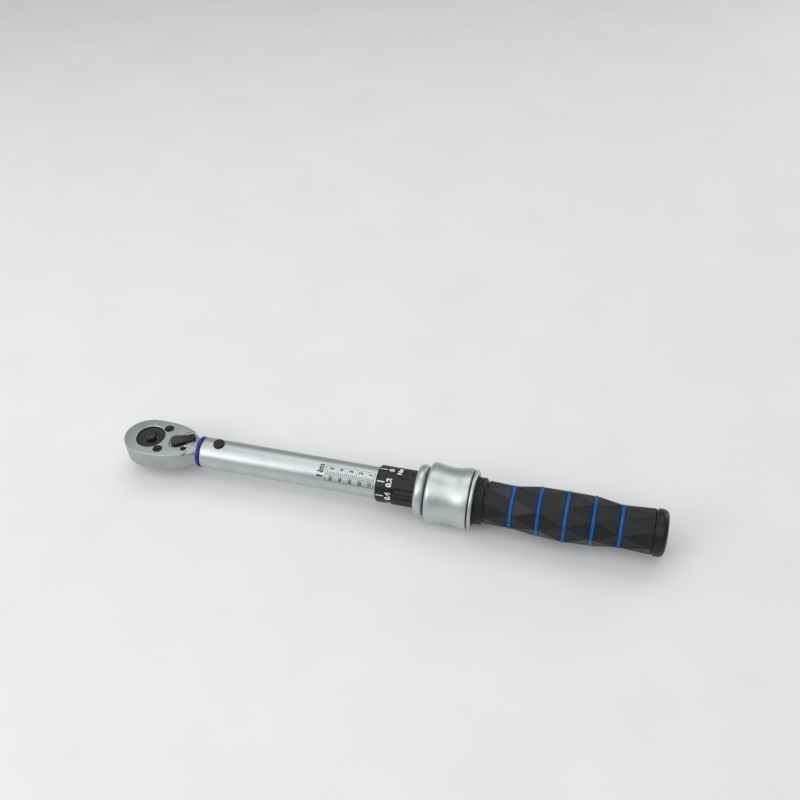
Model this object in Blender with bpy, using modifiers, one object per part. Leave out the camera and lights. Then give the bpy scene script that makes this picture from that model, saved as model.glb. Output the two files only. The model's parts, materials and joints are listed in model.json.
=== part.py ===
"""Click-type torque wrench, 1/4 inch square drive, micrometer handle.

The part's frame: origin at the centre of the drive square's end face, +Z from there up through
the ratchet head, +X along the tube towards the handle. Constants are in millimetres.
Places along the wrench are distances from the drive axis (x), heights are from the tube's axis.
"""
import math

import bmesh
import bpy
from mathutils import Matrix, Vector

MM = 0.001
AXIS_HEIGHT = 14.5          # tube axis above the drive square's end face
ROUND = 32                  # sides of a turned piece that shows
INNER = 20                  # sides of a turned piece inside

# ratchet head
HEAD_FRONT = 14.0           # front of the head to the drive axis
HEAD_HALF_WIDTH = 12.3
HEAD_TOP = 5.0
HEAD_BOTTOM = -6.0
HEAD_END = 27.1             # where the flat head ends and the round neck shows
HEAD_FLANK = [(3.0, HEAD_HALF_WIDTH), (18.0, 12.5), (23.0, 7.2), (HEAD_END, 5.3)]   # one cubic curve
PLATE_BOTTOM = 3.4
PLATE_CENTRE_X = 4.6        # the cover plate's rear edge is an arc about this point
PLATE_RADIUS = 19.0
REST_GAP = 0.3              # between pieces that rest on each other
POCKET_FLOOR = -4.0

# ratchet gear, drive square and release button
TEETH = 36
GEAR_TIP = 8.2
GEAR_ROOT = 7.6
GEAR_BOTTOM = -3.7
GEAR_TOP = 2.9
GEAR_BORE = 8.45
HUB_DISC = 7.5
HUB_DISC_TOP = 4.6
HUB_HOLE = 7.75
LOWER_HUB = 6.1
LOWER_HUB_BORE = 6.4
SHOULDER = -7.2
SQUARE = 6.35
BUTTON_RADIUS = 3.2
BUTTON_TOP = 6.4
BUTTON_BOTTOM = 2.2
BUTTON_BORE = 3.5
BUTTON_BORE_FLOOR = -2.5
ROD_RADIUS = 0.9
ROD_WAIST = 0.55
ROD_BORE = 1.3
BALL_HEIGHT = -11.0
BALL_RADIUS = 1.2
BALL_X = 2.475
BUTTON_TRAVEL = 1.5

# pawl and reversing lever
PAWL_X = 11.2
PAWL_HUB = 1.6
PAWL_PIN = 0.8
PAWL_ANGLE = 30.0           # each tooth's angle round the gear, a whole number of tooth spaces
PAWL_TIP = 7.8              # radius that the meshing tooth reaches to
PAWL_SWING = 5.1            # degrees from one tooth in mesh to the other
LEVER_X = 16.6
LEVER_ANGLE = 30.0
LEVER_BOTTOM = 5.3
LEVER_TOP = 6.9
SHAFT_RADIUS = 2.3
SHAFT_BOTTOM = -3.6
SHAFT_POCKET = 4.0

# screws of the cover plate: x, y, head radius, shank radius, shank end
COVER_SCREWS = [(7.3, 7.4, 2.35, 1.05, -3.0), (7.3, -7.4, 2.35, 1.05, -3.0),
                (20.2, 4.15, 1.4, 0.75, -1.0), (20.2, -4.15, 1.4, 0.75, -1.0)]
SCREW_TOP = 4.75
SCREW_SEAT = 3.95

# tube and torque mechanism
NECK_RADIUS = 5.2
NECK_END = 48.0
PIN_X = 39.0
PIN_RADIUS = 2.85
PIN_TOP = 9.2               # its black head stands proud of the tube
PIN_BOTTOM = -7.7
TANG_END = 80.0
TANG_HALF_WIDTH = 3.2
TANG_HALF_HEIGHT = 3.6
TILT_X = 85.3               # the tilt block turns about its rear nose here
TILT_LENGTH = 5.0
TILT_HALF_WIDTH = 2.4
TILT_HALF_HEIGHT = 3.0
TILT_NOSE = 1.2
TUBE_START = 29.6
TUBE_RADIUS = 8.0
TUBE_STEP = 126.0           # behind this the tube is turned down, inside the handle
TUBE_REAR_RADIUS = 7.0
TUBE_END = 200.0
TUBE_BORE = 6.3
PLUNGER_START = 85.8
PLUNGER_END = 96.0
SPRING_START = 97.5
SPRING_END = 169.0
SPRING_TURNS = 13
SPRING_RADIUS = 4.8
SPRING_WIRE = 1.0
SEAT_START = 170.4
SEAT_END = 174.0
THRUST_BALL = 2.0
NUT_START = 186.0
NUT_END = 199.7
NUT_PIN_X = 193.0
SCREW_RADIUS = 3.0

# handle
SLEEVE_START = 123.4
SLEEVE_END = 176.0
SLEEVE_RADIUS = 9.3
SLEEVE_BORE = 8.25
CORE_START = 152.0
CORE_END = 248.3
CORE_RADIUS = 8.0
CORE_BORE = 7.2
GRIP_START = 178.2
GRIP_END = 257.3
GRIP_BORE = 8.3
RING_X = [190.7, 203.7, 216.6, 229.4, 242.3]
RING_CORNER = [10.9, 11.9, 12.9, 11.9, 10.8]     # corner radius of the grip at each ring
GRIP_START_CORNER = 10.6
GRIP_END_CORNER = 11.0
GROOVE_WIDTH = 1.4
GROOVE_DEPTH = 0.9
RING_WIDTH = 1.2
RING_THICKNESS = 0.7
CAP_START = 249.0
CAP_RADIUS = 11.5
CAP_END = 263.5
CAP_CAVITY = (257.0, 6.5)   # end and radius of the room for the screw's nut
SLEEVE_WAIST = 143.0        # behind this the sleeve is slightly slimmer, under the collar
NECK_RING = [(168.0, 9.4), (168.0, 11.0), (168.3, 11.3), (173.4, 11.3), (173.7, 11.6),
             (174.6, 11.6), (174.9, 11.2), (175.3, 11.2), (175.6, 11.6), (176.5, 11.6),
             (177.2, 11.2), (177.2, 9.4)]
SCREW_FRONT = 178.6
FLANGE_START = 240.3        # flange of the adjusting screw, inside the core's end
FLANGE_END = 243.0
FLANGE_RADIUS = 5.0
STEM_RADIUS = 2.4           # its stem through the core's end wall
STEM_END = 252.5
STEM_HOLE = 2.7
CORE_WALL = 5.0
SCREW_NUT = (4.6, 252.0)    # corner radius and end of the nut on the stem

# lock collar
COLLAR_OUTSIDE = [(143.3, 12.0), (144.0, 12.6), (147.4, 13.2), (148.2, 12.8), (149.3, 12.8),
                  (149.5, 14.5), (150.3, 15.0), (152.5, 15.0), (155.0, 14.6), (157.5, 14.1),
                  (161.5, 14.1), (164.5, 14.6), (167.0, 15.1), (170.2, 15.2), (170.6, 14.5),
                  (171.0, 14.8), (172.1, 14.7), (172.5, 14.2)]
COLLAR_BORE = 9.5
COLLAR_CAVITY = 12.2
COLLAR_SHOULDER = 151.2
BALL_GROOVE = (144.5, 150.1, 10.3)
LOCK_BALL_X = 149.05
LOCK_BALL_CENTRE = 9.15
LOCK_BALL_RADIUS = 0.9

COLOURS = {                 # colour, roughness, metallic
    "satin_steel": ((0.62, 0.63, 0.64), 0.38, 1.0),
    "bright_steel": ((0.68, 0.68, 0.67), 0.22, 1.0),
    "satin_aluminium": ((0.66, 0.67, 0.68), 0.40, 1.0),
    "black_steel": ((0.025, 0.026, 0.028), 0.42, 0.7),
    "black_plastic": ((0.018, 0.019, 0.021), 0.48, 0.0),
    "blue_plastic": ((0.015, 0.07, 0.42), 0.40, 0.0),
    "dark_blue": ((0.01, 0.03, 0.22), 0.40, 0.0),
    "spring_steel": ((0.30, 0.30, 0.31), 0.35, 1.0),
    "brass": ((0.70, 0.52, 0.22), 0.32, 1.0),
}


# ---------------------------------------------------------------- helpers

def collection(name):
    made = bpy.data.collections.new(name)
    bpy.context.scene.collection.children.link(made)
    return made


def clear_scene():
    for old in list(bpy.data.objects):
        bpy.data.objects.remove(old, do_unlink=True)


def material(name):
    found = bpy.data.materials.get(name)
    if found:
        return found
    colour, roughness, metallic = COLOURS[name]
    made = bpy.data.materials.new(name)
    made.use_nodes = True
    shader = made.node_tree.nodes["Principled BSDF"]
    shader.inputs["Base Color"].default_value = (*colour, 1.0)
    shader.inputs["Roughness"].default_value = roughness
    shader.inputs["Metallic"].default_value = metallic
    made.diffuse_color = (*colour, 1.0)
    return made


def point(x, y, z):
    """A point of the wrench, in metres in the part's frame."""
    return Vector((x, y, z + AXIS_HEIGHT)) * MM


def put(name, mesh, paint):
    """A new object of the wrench, or a cutter where paint is None."""
    made = bpy.data.objects.new(name, mesh)
    if paint:
        PARTS.objects.link(made)
        mesh.materials.append(material(paint))
    else:
        CUTTERS.objects.link(made)
        made.hide_render = True
        made.display_type = "WIRE"
    return made


def smooth(mesh, angle=35.0):
    mesh.shade_smooth()
    mesh.set_sharp_from_angle(angle=math.radians(angle))


def turned(name, profile, paint, along="X", at=(0.0, 0.0), steps=ROUND):
    """A turned piece: profile is (place along the axis, radius), front to rear on the outside.

    A profile that starts and ends at radius 0 is a solid; any other is closed into a ring.
    """
    mesh = bpy.data.meshes.new(name)
    # the screw runs down the outer side, so the profile is taken from its far end
    verts = [(radius * MM, 0.0, place * MM) for place, radius in reversed(profile)]
    edges = [(i, i + 1) for i in range(len(verts) - 1)]
    if profile[0][1] > 0:
        edges.append((len(verts) - 1, 0))
    mesh.from_pydata(verts, edges, [])
    made = put(name, mesh, paint)
    if along == "X":
        made.location = (0.0, 0.0, AXIS_HEIGHT * MM)
        # half a step of roll puts a flat at the bottom
        roll = Matrix.Rotation(math.pi / steps, 4, "X")
        made.rotation_euler = (roll @ Matrix.Rotation(math.pi / 2, 4, "Y")).to_euler()
    else:
        made.location = point(at[0], at[1], 0.0)
    screw = made.modifiers.new("turn", "SCREW")
    screw.steps = steps
    screw.render_steps = steps
    screw.use_merge_vertices = True
    screw.merge_threshold = 0.00001
    screw.use_smooth_shade = True
    return made


def rod(name, start, end, radius, paint, sides=ROUND):
    """A round bar between two points of the wrench."""
    a, b = point(*start), point(*end)
    mesh = bpy.data.meshes.new(name)
    shape = bmesh.new()
    bmesh.ops.create_cone(shape, cap_ends=True, segments=sides, radius1=radius * MM,
                          radius2=radius * MM, depth=(b - a).length)
    shape.to_mesh(mesh)
    shape.free()
    smooth(mesh)
    made = put(name, mesh, paint)
    made.location = (a + b) / 2
    made.rotation_euler = (b - a).to_track_quat("Z", "Y").to_euler()
    return made


def block(name, low, high, paint, bevel=0.0):
    """A box between two corners of the wrench."""
    a, b = point(*low), point(*high)
    mesh = bpy.data.meshes.new(name)
    shape = bmesh.new()
    bmesh.ops.create_cube(shape, size=1.0)
    bmesh.ops.scale(shape, vec=b - a, verts=shape.verts)
    shape.to_mesh(mesh)
    shape.free()
    made = put(name, mesh, paint)
    made.location = (a + b) / 2
    if bevel:
        add_bevel(made, bevel)
    return made


def ball(name, centre, radius, paint, sides=12):
    mesh = bpy.data.meshes.new(name)
    shape = bmesh.new()
    bmesh.ops.create_uvsphere(shape, u_segments=sides, v_segments=sides // 2, radius=radius * MM)
    shape.to_mesh(mesh)
    shape.free()
    mesh.shade_smooth()
    made = put(name, mesh, paint)
    made.location = point(*centre)
    return made


def as_mesh(curve, paint):
    """Replace a curve object by the mesh that it makes, with its caps welded on."""
    name = curve.name
    evaluated = curve.evaluated_get(bpy.context.evaluated_depsgraph_get())
    mesh = bpy.data.meshes.new_from_object(evaluated)
    place = curve.matrix_world.copy()
    bpy.data.objects.remove(curve, do_unlink=True)
    shape = bmesh.new()
    shape.from_mesh(mesh)
    bmesh.ops.remove_doubles(shape, verts=shape.verts, dist=0.000001)
    shape.to_mesh(mesh)
    shape.free()
    mesh.materials.clear()
    smooth(mesh)
    made = put(name, mesh, paint)
    made.matrix_world = place
    return made


def curve_object(name, dimensions, points, cyclic):
    data = bpy.data.curves.new(name, "CURVE")
    data.dimensions = dimensions
    spline = data.splines.new("POLY")
    spline.points.add(len(points) - 1)
    for target, (x, y, z) in zip(spline.points, points):
        target.co = (x, y, z, 1.0)
    spline.use_cyclic_u = cyclic
    made = bpy.data.objects.new(name, data)
    CUTTERS.objects.link(made)
    return made


def outline(name, points, bottom, top, paint):
    """A flat plate with the given outline between two heights."""
    made = curve_object(name, "2D", [(x * MM, y * MM, 0.0) for x, y in points], True)
    made.data.fill_mode = "BOTH"
    made.data.extrude = (top - bottom) / 2 * MM
    made.location = point(0.0, 0.0, (bottom + top) / 2)
    bpy.context.view_layer.update()
    return as_mesh(made, paint)


def coil(name, start, end, turns, radius, wire, paint, along="X", steps=10, sides=0):
    """A compression spring about the tube's axis, or about the drive axis."""
    points = []
    for i in range(turns * steps + 1):
        angle = 2 * math.pi * i / steps
        place = start + (end - start) * i / (turns * steps)
        a, b = radius * math.cos(angle), radius * math.sin(angle)
        points.append(point(place, a, b) if along == "X" else point(a, b, place))
    made = curve_object(name, "3D", points, False)
    made.data.bevel_depth = wire * MM
    made.data.bevel_resolution = sides
    made.data.use_fill_caps = True
    bpy.context.view_layer.update()
    return as_mesh(made, paint)


def add_bevel(made, width, segments=1):
    bevel = made.modifiers.new("rounded edges", "BEVEL")
    bevel.width = width * MM
    bevel.segments = segments
    bevel.limit_method = "ANGLE"
    bevel.angle_limit = math.radians(50)


def boolean(made, other, operation):
    step = made.modifiers.new(operation.lower(), "BOOLEAN")
    step.operation = operation
    step.solver = "EXACT"
    step.object = other


def cut(made, *cutters):
    for cutter in cutters:
        boolean(made, cutter, "DIFFERENCE")


def weld_on(made, *others):
    for other in others:
        boolean(made, other, "UNION")


def empty(name, x, y, z, children, rotation=0.0):
    """A joint's axis: an empty that carries the pieces which move with it."""
    made = bpy.data.objects.new(name, None)
    PARTS.objects.link(made)
    made.empty_display_size = 0.01
    made.location = point(x, y, z)
    made.rotation_euler = (0.0, 0.0, math.radians(rotation))
    bpy.context.view_layer.update()
    for child in children:
        place = child.matrix_world.copy()
        child.parent = made
        child.matrix_parent_inverse = made.matrix_world.inverted()
        child.matrix_world = place
    return made


def arc(centre, radius, start, end, count):
    """Points on an arc, angles in degrees."""
    angles = [math.radians(start + (end - start) * i / count) for i in range(count + 1)]
    return [(centre[0] + radius * math.cos(a), centre[1] + radius * math.sin(a)) for a in angles]


def cubic(ends, count):
    """Points on a cubic curve, without its first point."""
    found = []
    for i in range(1, count + 1):
        t = i / count
        weights = ((1 - t) ** 3, 3 * t * (1 - t) ** 2, 3 * t * t * (1 - t), t ** 3)
        found.append(tuple(sum(w * p[k] for w, p in zip(weights, ends)) for k in (0, 1)))
    return found


def turn_points(points, degrees, centre):
    """Points turned about the origin and moved to centre."""
    a = math.radians(degrees)
    return [(centre[0] + x * math.cos(a) - y * math.sin(a),
             centre[1] + x * math.sin(a) + y * math.cos(a)) for x, y in points]


# ---------------------------------------------------------------- ratchet head

def head_outline():
    """The head seen from above: half an ellipse in front, two flanks down to the neck."""
    front = [(-HEAD_FRONT * math.sin(math.pi * i / 20), -HEAD_HALF_WIDTH * math.cos(math.pi * i / 20))
             for i in range(21)]
    flank = cubic(HEAD_FLANK, 8)
    upper = [(HEAD_FLANK[0][0], HEAD_HALF_WIDTH)] + flank
    lower = [(x, -y) for x, y in reversed(upper)]
    return lower + front + upper


def screw_holes():
    """Two cutters for each cover screw: its shank's hole and its head's counterbore."""
    cutters = []
    for i, (x, y, head, shank, end) in enumerate(COVER_SCREWS):
        cutters.append(rod(f"shank_hole_{i}", (x, y, end - 0.5), (x, y, HEAD_TOP + 1), shank + 0.25,
                           None, 16))
        cutters.append(rod(f"head_hole_{i}", (x, y, SCREW_SEAT - 0.25), (x, y, HEAD_TOP + 1),
                           head + 0.25, None, 24))
    return cutters


def build_head():
    body = outline("head_body", head_outline(), HEAD_BOTTOM, HEAD_TOP, "satin_steel")
    add_bevel(body, 0.9)
    neck = rod("neck", (HEAD_END - 4, 0, 0), (NECK_END, 0, 0), NECK_RADIUS, None)
    tang = block("tang", (NECK_END - 4, -TANG_HALF_WIDTH, -TANG_HALF_HEIGHT),
                 (TANG_END, TANG_HALF_WIDTH, TANG_HALF_HEIGHT), None)
    weld_on(body, neck, tang)
    plate_seat = rod("plate_seat", (PLATE_CENTRE_X, 0, PLATE_BOTTOM - REST_GAP),
                     (PLATE_CENTRE_X, 0, HEAD_TOP + 2), PLATE_RADIUS + REST_GAP, None, 48)
    gear_bore = rod("gear_bore", (0, 0, POCKET_FLOOR), (0, 0, HEAD_TOP + 1), GEAR_BORE, None, 36)
    hub_bore = rod("hub_bore", (0, 0, HEAD_BOTTOM - 1), (0, 0, 0), LOWER_HUB_BORE, None)
    pawl_pocket = block("pawl_pocket", (4.0, -5.1, POCKET_FLOOR), (13.6, 5.1, HEAD_TOP + 1), None)
    shaft_pocket = rod("shaft_pocket", (LEVER_X, 0, POCKET_FLOOR), (LEVER_X, 0, HEAD_TOP - 1),
                       SHAFT_POCKET, None, 24)
    pawl_pin_hole = rod("pawl_pin_hole", (PAWL_X, 0, POCKET_FLOOR - 1.3), (PAWL_X, 0, 0),
                        PAWL_PIN + 0.2, None, 16)
    pin_hole = rod("pin_hole", (PIN_X, 0, -9), (PIN_X, 0, 9), PIN_RADIUS + 0.15, None, 24)
    cut(body, plate_seat, gear_bore, hub_bore, pawl_pocket, shaft_pocket, pawl_pin_hole, pin_hole)

    plate = outline("cover_plate", head_outline(), PLATE_BOTTOM, HEAD_TOP, "satin_steel")
    add_bevel(plate, 0.5)
    edge = rod("plate_edge", (PLATE_CENTRE_X, 0, PLATE_BOTTOM - 1), (PLATE_CENTRE_X, 0, HEAD_TOP + 1),
               PLATE_RADIUS, None, 48)
    boolean(plate, edge, "INTERSECT")
    hub_hole = rod("hub_hole", (0, 0, PLATE_BOTTOM - 1), (0, 0, HEAD_TOP + 1), HUB_HOLE, None, 36)
    shaft_hole = rod("shaft_hole", (LEVER_X, 0, PLATE_BOTTOM - 1), (LEVER_X, 0, HEAD_TOP + 1),
                     SHAFT_RADIUS + 0.25, None, 24)
    cut(plate, hub_hole, shaft_hole)
    for hole in screw_holes():
        cut(plate, hole)
        if hole.name.startswith("shank"):
            cut(body, hole)

    screws = []
    for i, (x, y, head, shank, end) in enumerate(COVER_SCREWS):
        profile = [(end, 0), (end, shank), (SCREW_SEAT, shank), (SCREW_SEAT, head),
                   (SCREW_TOP - 0.15, head), (SCREW_TOP, head - 0.2), (SCREW_TOP, 0)]
        screw = turned(f"cover_screw_{i + 1}", profile, "black_steel", "Z", (x, y), 16)
        socket = rod(f"socket_{i}", (x, y, SCREW_TOP - 0.55), (x, y, SCREW_TOP + 1), head * 0.5,
                     None, 6)
        cut(screw, socket)
        screws.append(screw)
    return [body, plate, *screws]


# ---------------------------------------------------------------- drive spindle

def gear_outline():
    """Teeth with a space centred on angle 0."""
    pitch = 360.0 / TEETH
    points = []
    for tooth in range(TEETH):
        for share, radius in ((-0.12, GEAR_ROOT), (0.12, GEAR_ROOT), (0.36, GEAR_TIP),
                              (0.64, GEAR_TIP)):
            a = math.radians((tooth + share) * pitch)
            points.append((radius * math.cos(a), radius * math.sin(a)))
    return points


def build_spindle():
    gear = outline("drive_spindle", gear_outline(), GEAR_BOTTOM, GEAR_TOP, "black_steel")
    hub = turned("hub", [(SHOULDER, 0), (SHOULDER, LOWER_HUB - 0.4), (SHOULDER + 0.4, LOWER_HUB),
                         (GEAR_BOTTOM + 0.4, LOWER_HUB), (GEAR_BOTTOM + 0.4, HUB_DISC),
                         (HUB_DISC_TOP - 0.3, HUB_DISC), (HUB_DISC_TOP, HUB_DISC - 0.3),
                         (HUB_DISC_TOP, 0)], None, "Z")
    half = SQUARE / 2
    square = block("square", (-half, -half, -AXIS_HEIGHT), (half, half, SHOULDER + 2), None, 0.35)
    weld_on(gear, hub, square)
    bores = [rod("button_bore", (0, 0, BUTTON_BORE_FLOOR), (0, 0, HUB_DISC_TOP + 1), BUTTON_BORE,
                 None, 24),
             rod("rod_bore", (0, 0, -14.0), (0, 0, 0), ROD_BORE, None, 16),
             rod("ball_bore", (0, 0, BALL_HEIGHT), (half + 1, 0, BALL_HEIGHT), BALL_RADIUS + 0.15,
                 None, 16)]
    cut(gear, *bores)

    # the rod's waist comes level with the ball when the button is pressed
    waist_low = BALL_HEIGHT + BUTTON_TRAVEL - 1.5
    waist_high = BALL_HEIGHT + BUTTON_TRAVEL + 1.5
    button = turned("release_button", [
        (-12.0, 0), (-12.0, ROD_RADIUS), (waist_low, ROD_RADIUS), (waist_low + 0.4, ROD_WAIST),
        (waist_high - 0.4, ROD_WAIST), (waist_high, ROD_RADIUS), (BUTTON_BOTTOM, ROD_RADIUS),
        (BUTTON_BOTTOM, BUTTON_RADIUS), (BUTTON_TOP - 0.5, BUTTON_RADIUS),
        (BUTTON_TOP - 0.1, BUTTON_RADIUS - 0.4), (BUTTON_TOP, BUTTON_RADIUS - 1.0),
        (BUTTON_TOP, 0)], "black_steel", "Z", steps=INNER)
    spring = coil("button_spring", BUTTON_BORE_FLOOR + 0.6, BUTTON_BOTTOM - 0.6, 4, 2.3, 0.25,
                  "spring_steel", "Z")
    detent = ball("detent_ball", (BALL_X, 0, BALL_HEIGHT), BALL_RADIUS, "bright_steel")
    return gear, button, spring, detent


# ---------------------------------------------------------------- pawl and lever

def pawl_outline():
    """A rocking pawl with a tooth at each end, drawn midway between its two positions."""
    middle = PAWL_TIP + 0.25
    back = 8.6
    upper = arc((0, 0), back, 0, PAWL_ANGLE - 2.5, 6)
    tip = math.radians(PAWL_ANGLE)
    upper.append((middle * math.cos(tip), middle * math.sin(tip)))
    upper += arc((0, 0), back, PAWL_ANGLE + 2.5, PAWL_ANGLE + 2.5, 1)[:1]
    upper.append((8.1, 4.95))
    upper += arc((PAWL_X, 0), PAWL_HUB, 75, 0, 4)
    lower = [(x, -y) for x, y in reversed(upper[1:-1])]
    return upper + lower


def build_pawl():
    """The pawl at rest has its -Y tooth in the gear, as the lever's side sets it."""
    points = [(x - PAWL_X, y) for x, y in pawl_outline()]
    turned_points = turn_points(points, -PAWL_SWING / 2, (PAWL_X, 0))
    pawl = outline("pawl", turned_points, POCKET_FLOOR + 0.4, 2.9, "bright_steel")
    hole = rod("pawl_hole", (PAWL_X, 0, -6), (PAWL_X, 0, 6), PAWL_PIN + 0.15, None, 16)
    cut(pawl, hole)
    pin = rod("pawl_pin", (PAWL_X, 0, POCKET_FLOOR - 1.0), (PAWL_X, 0, 3.1), PAWL_PIN,
              "bright_steel", 16)
    return pawl, pin


def lever_outline():
    """A wide round end over the shaft and a narrower finger tab."""
    wide, tab, reach = 3.1, 1.5, 8.4
    lean = math.degrees(math.asin((wide - tab) / reach))
    points = arc((-1.6, 0), wide, 90 - lean, 270 + lean, 12)
    points += arc((-1.6 + reach, 0), tab, -90 + lean, 90 - lean, 8)
    return turn_points(points, LEVER_ANGLE, (LEVER_X, 0))


def build_lever():
    lever = outline("reversing_lever", lever_outline(), LEVER_BOTTOM, LEVER_TOP, "black_steel")
    add_bevel(lever, 0.4)
    shaft = rod("lever_shaft", (LEVER_X, 0, SHAFT_BOTTOM), (LEVER_X, 0, LEVER_TOP - 0.6),
                SHAFT_RADIUS, None, 24)
    weld_on(lever, shaft)
    a = math.radians(LEVER_ANGLE)
    back = (-math.cos(a), -math.sin(a))

    def along(distance):
        return (LEVER_X + back[0] * distance, back[1] * distance, 0.0)

    bore = rod("plunger_bore", along(-1.2), along(4.0), 0.8, None, 12)
    cut(lever, bore)
    plunger = rod("lever_plunger", along(0.9), along(3.3), 0.6, "bright_steel", 12)
    add_bevel(plunger, 0.2)
    points = []
    for i in range(4 * 8 + 1):
        angle = 2 * math.pi * i / 8
        x, y, _ = along(-0.8 + 1.3 * i / 32)
        side, lift = 0.42 * math.cos(angle), 0.42 * math.sin(angle)
        points.append(point(x - back[1] * side, y + back[0] * side, lift))
    spring = curve_object("lever_spring", "3D", points, False)
    spring.data.bevel_depth = 0.12 * MM
    spring.data.bevel_resolution = 0
    spring.data.use_fill_caps = True
    bpy.context.view_layer.update()
    return lever, plunger, as_mesh(spring, "spring_steel")


# ---------------------------------------------------------------- tube and mechanism

def build_housing():
    tube = turned("tube", [(TUBE_START, 7.5), (TUBE_START + 0.5, TUBE_RADIUS),
                           (TUBE_STEP, TUBE_RADIUS), (TUBE_STEP, TUBE_REAR_RADIUS),
                           (TUBE_END, TUBE_REAR_RADIUS), (TUBE_END, TUBE_BORE),
                           (TUBE_START, TUBE_BORE)], "satin_steel")
    cross_hole = rod("cross_hole", (PIN_X, 0, -10), (PIN_X, 0, 10), PIN_RADIUS + 0.2, None, 24)
    nut_pin_hole = rod("nut_pin_hole", (NUT_PIN_X, 0, 4.2), (NUT_PIN_X, 0, 8), 1.2, None, 12)
    cut(tube, cross_hole, nut_pin_hole)
    ring = turned("front_ring", [(27.6, 7.5), (28.0, TUBE_RADIUS), (29.3, TUBE_RADIUS),
                                 (29.3, 6.0), (27.6, 6.0)], "dark_blue")
    pin = turned("pivot_pin", [
        (PIN_BOTTOM, 0), (PIN_BOTTOM, PIN_RADIUS - 0.3), (PIN_BOTTOM + 0.3, PIN_RADIUS),
        (PIN_TOP - 0.3, PIN_RADIUS), (PIN_TOP, PIN_RADIUS - 0.3), (PIN_TOP, 0)],
        "black_steel", "Z", (PIN_X, 0), 24)
    plunger = turned("spring_plunger", [
        (PLUNGER_START, 0), (PLUNGER_START, 5.6), (PLUNGER_START + 0.5, 6.05),
        (PLUNGER_END, 6.05), (PLUNGER_END, 3.4), (101.0, 3.4), (101.5, 2.9), (101.5, 0)],
        "bright_steel", steps=INNER)
    seat = rod("tilt_seat", (TILT_X, 0, -8), (TILT_X, 0, 8), TILT_NOSE + 0.3, None, 16)
    cut(plunger, seat)
    nut = turned("adjusting_nut", [(NUT_START, 5.6), (NUT_START + 0.4, 6.0), (NUT_END, 6.0),
                                   (NUT_END, SCREW_RADIUS + 0.3), (NUT_START, SCREW_RADIUS + 0.3)],
                 "brass", steps=INNER)
    cut(nut, nut_pin_hole)
    nut_pin = rod("nut_pin", (NUT_PIN_X, 0, 4.5), (NUT_PIN_X, 0, 6.8), 1.0, "bright_steel", 12)
    spring = coil("main_spring", SPRING_START, SPRING_END, SPRING_TURNS, SPRING_RADIUS, SPRING_WIRE,
                  "spring_steel")
    return [tube, ring, pin, plunger, nut, nut_pin, spring]


def build_tilt_block():
    lean = math.degrees(math.asin(TILT_HALF_WIDTH / TILT_LENGTH))
    points = arc((TILT_X, 0), TILT_LENGTH, 180 - lean, 180 + lean, 6)
    points += arc((TILT_X, 0), TILT_NOSE, -90, 90, 6)
    return outline("tilt_block", points, -TILT_HALF_HEIGHT, TILT_HALF_HEIGHT, "bright_steel")


def build_spring_seat():
    seat = turned("spring_seat", [(165.5, 0), (165.5, 2.9), (166.0, 3.4), (SEAT_START, 3.4),
                                  (SEAT_START, 6.05), (SEAT_END, 6.05), (SEAT_END, 0)],
                  "bright_steel", steps=INNER)
    thrust = ball("thrust_ball", (SEAT_END + REST_GAP + THRUST_BALL, 0, 0), THRUST_BALL,
                  "bright_steel")
    return [seat, thrust]


# ---------------------------------------------------------------- handle

def grip_sections():
    """The grip's octagons: place, corner radius, and half a step of turn at every other ring."""
    half = GROOVE_WIDTH / 2
    sections = [(GRIP_START, GRIP_START_CORNER, 0)]
    for i, (x, corner) in enumerate(zip(RING_X, RING_CORNER)):
        phase = (i + 1) % 2
        floor = corner - GROOVE_DEPTH
        sections += [(x - half, corner, phase), (x - half, floor, phase), (x + half, floor, phase),
                     (x + half, corner, phase)]
    sections.append((GRIP_END, GRIP_END_CORNER, 0))
    return sections


def octagon(place, corner, phase):
    return [point(place, corner * math.cos(a), corner * math.sin(a)) for a in
            (math.radians(45 * k + 22.5 * phase) for k in range(8))]


def loft(name, sections, paint):
    """A skin over octagons; between octagons half a step apart it is a band of triangles."""
    shape = bmesh.new()
    loops = [[shape.verts.new(p) for p in octagon(*section)] for section in sections]
    for (a, b), (first, second) in zip(zip(loops, loops[1:]), zip(sections, sections[1:])):
        shift = second[2] - first[2]
        for k in range(8):
            n = (k + 1) % 8
            if shift == 0:
                shape.faces.new((a[k], a[n], b[n], b[k]))
            elif shift == 1:
                shape.faces.new((a[k], a[n], b[k]))
                shape.faces.new((a[n], b[n], b[k]))
            else:
                shape.faces.new((a[k], b[n], b[k]))
                shape.faces.new((a[k], a[n], b[n]))
    shape.faces.new(loops[0])
    shape.faces.new(reversed(loops[-1]))
    bmesh.ops.recalc_face_normals(shape, faces=shape.faces)
    mesh = bpy.data.meshes.new(name)
    shape.to_mesh(mesh)
    shape.free()
    return put(name, mesh, paint)


def build_grip():
    grip = loft("grip", grip_sections(), "black_plastic")
    bore = rod("grip_bore", (GRIP_START - 1, 0, 0), (GRIP_END + 1, 0, 0), GRIP_BORE, None)
    cut(grip, bore)
    rings = []
    for i, (x, corner) in enumerate(zip(RING_X, RING_CORNER)):
        phase = (i + 1) % 2
        low, high = x - RING_WIDTH / 2, x + RING_WIDTH / 2
        ring = loft(f"grip_ring_{i + 1}", [(low, corner, phase), (high, corner, phase)],
                    "blue_plastic")
        inside = loft(f"ring_inside_{i}", [(low - 1, corner - RING_THICKNESS, phase),
                                           (high + 1, corner - RING_THICKNESS, phase)], None)
        cut(ring, inside)
        rings.append(ring)
    return [grip, *rings]


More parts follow.
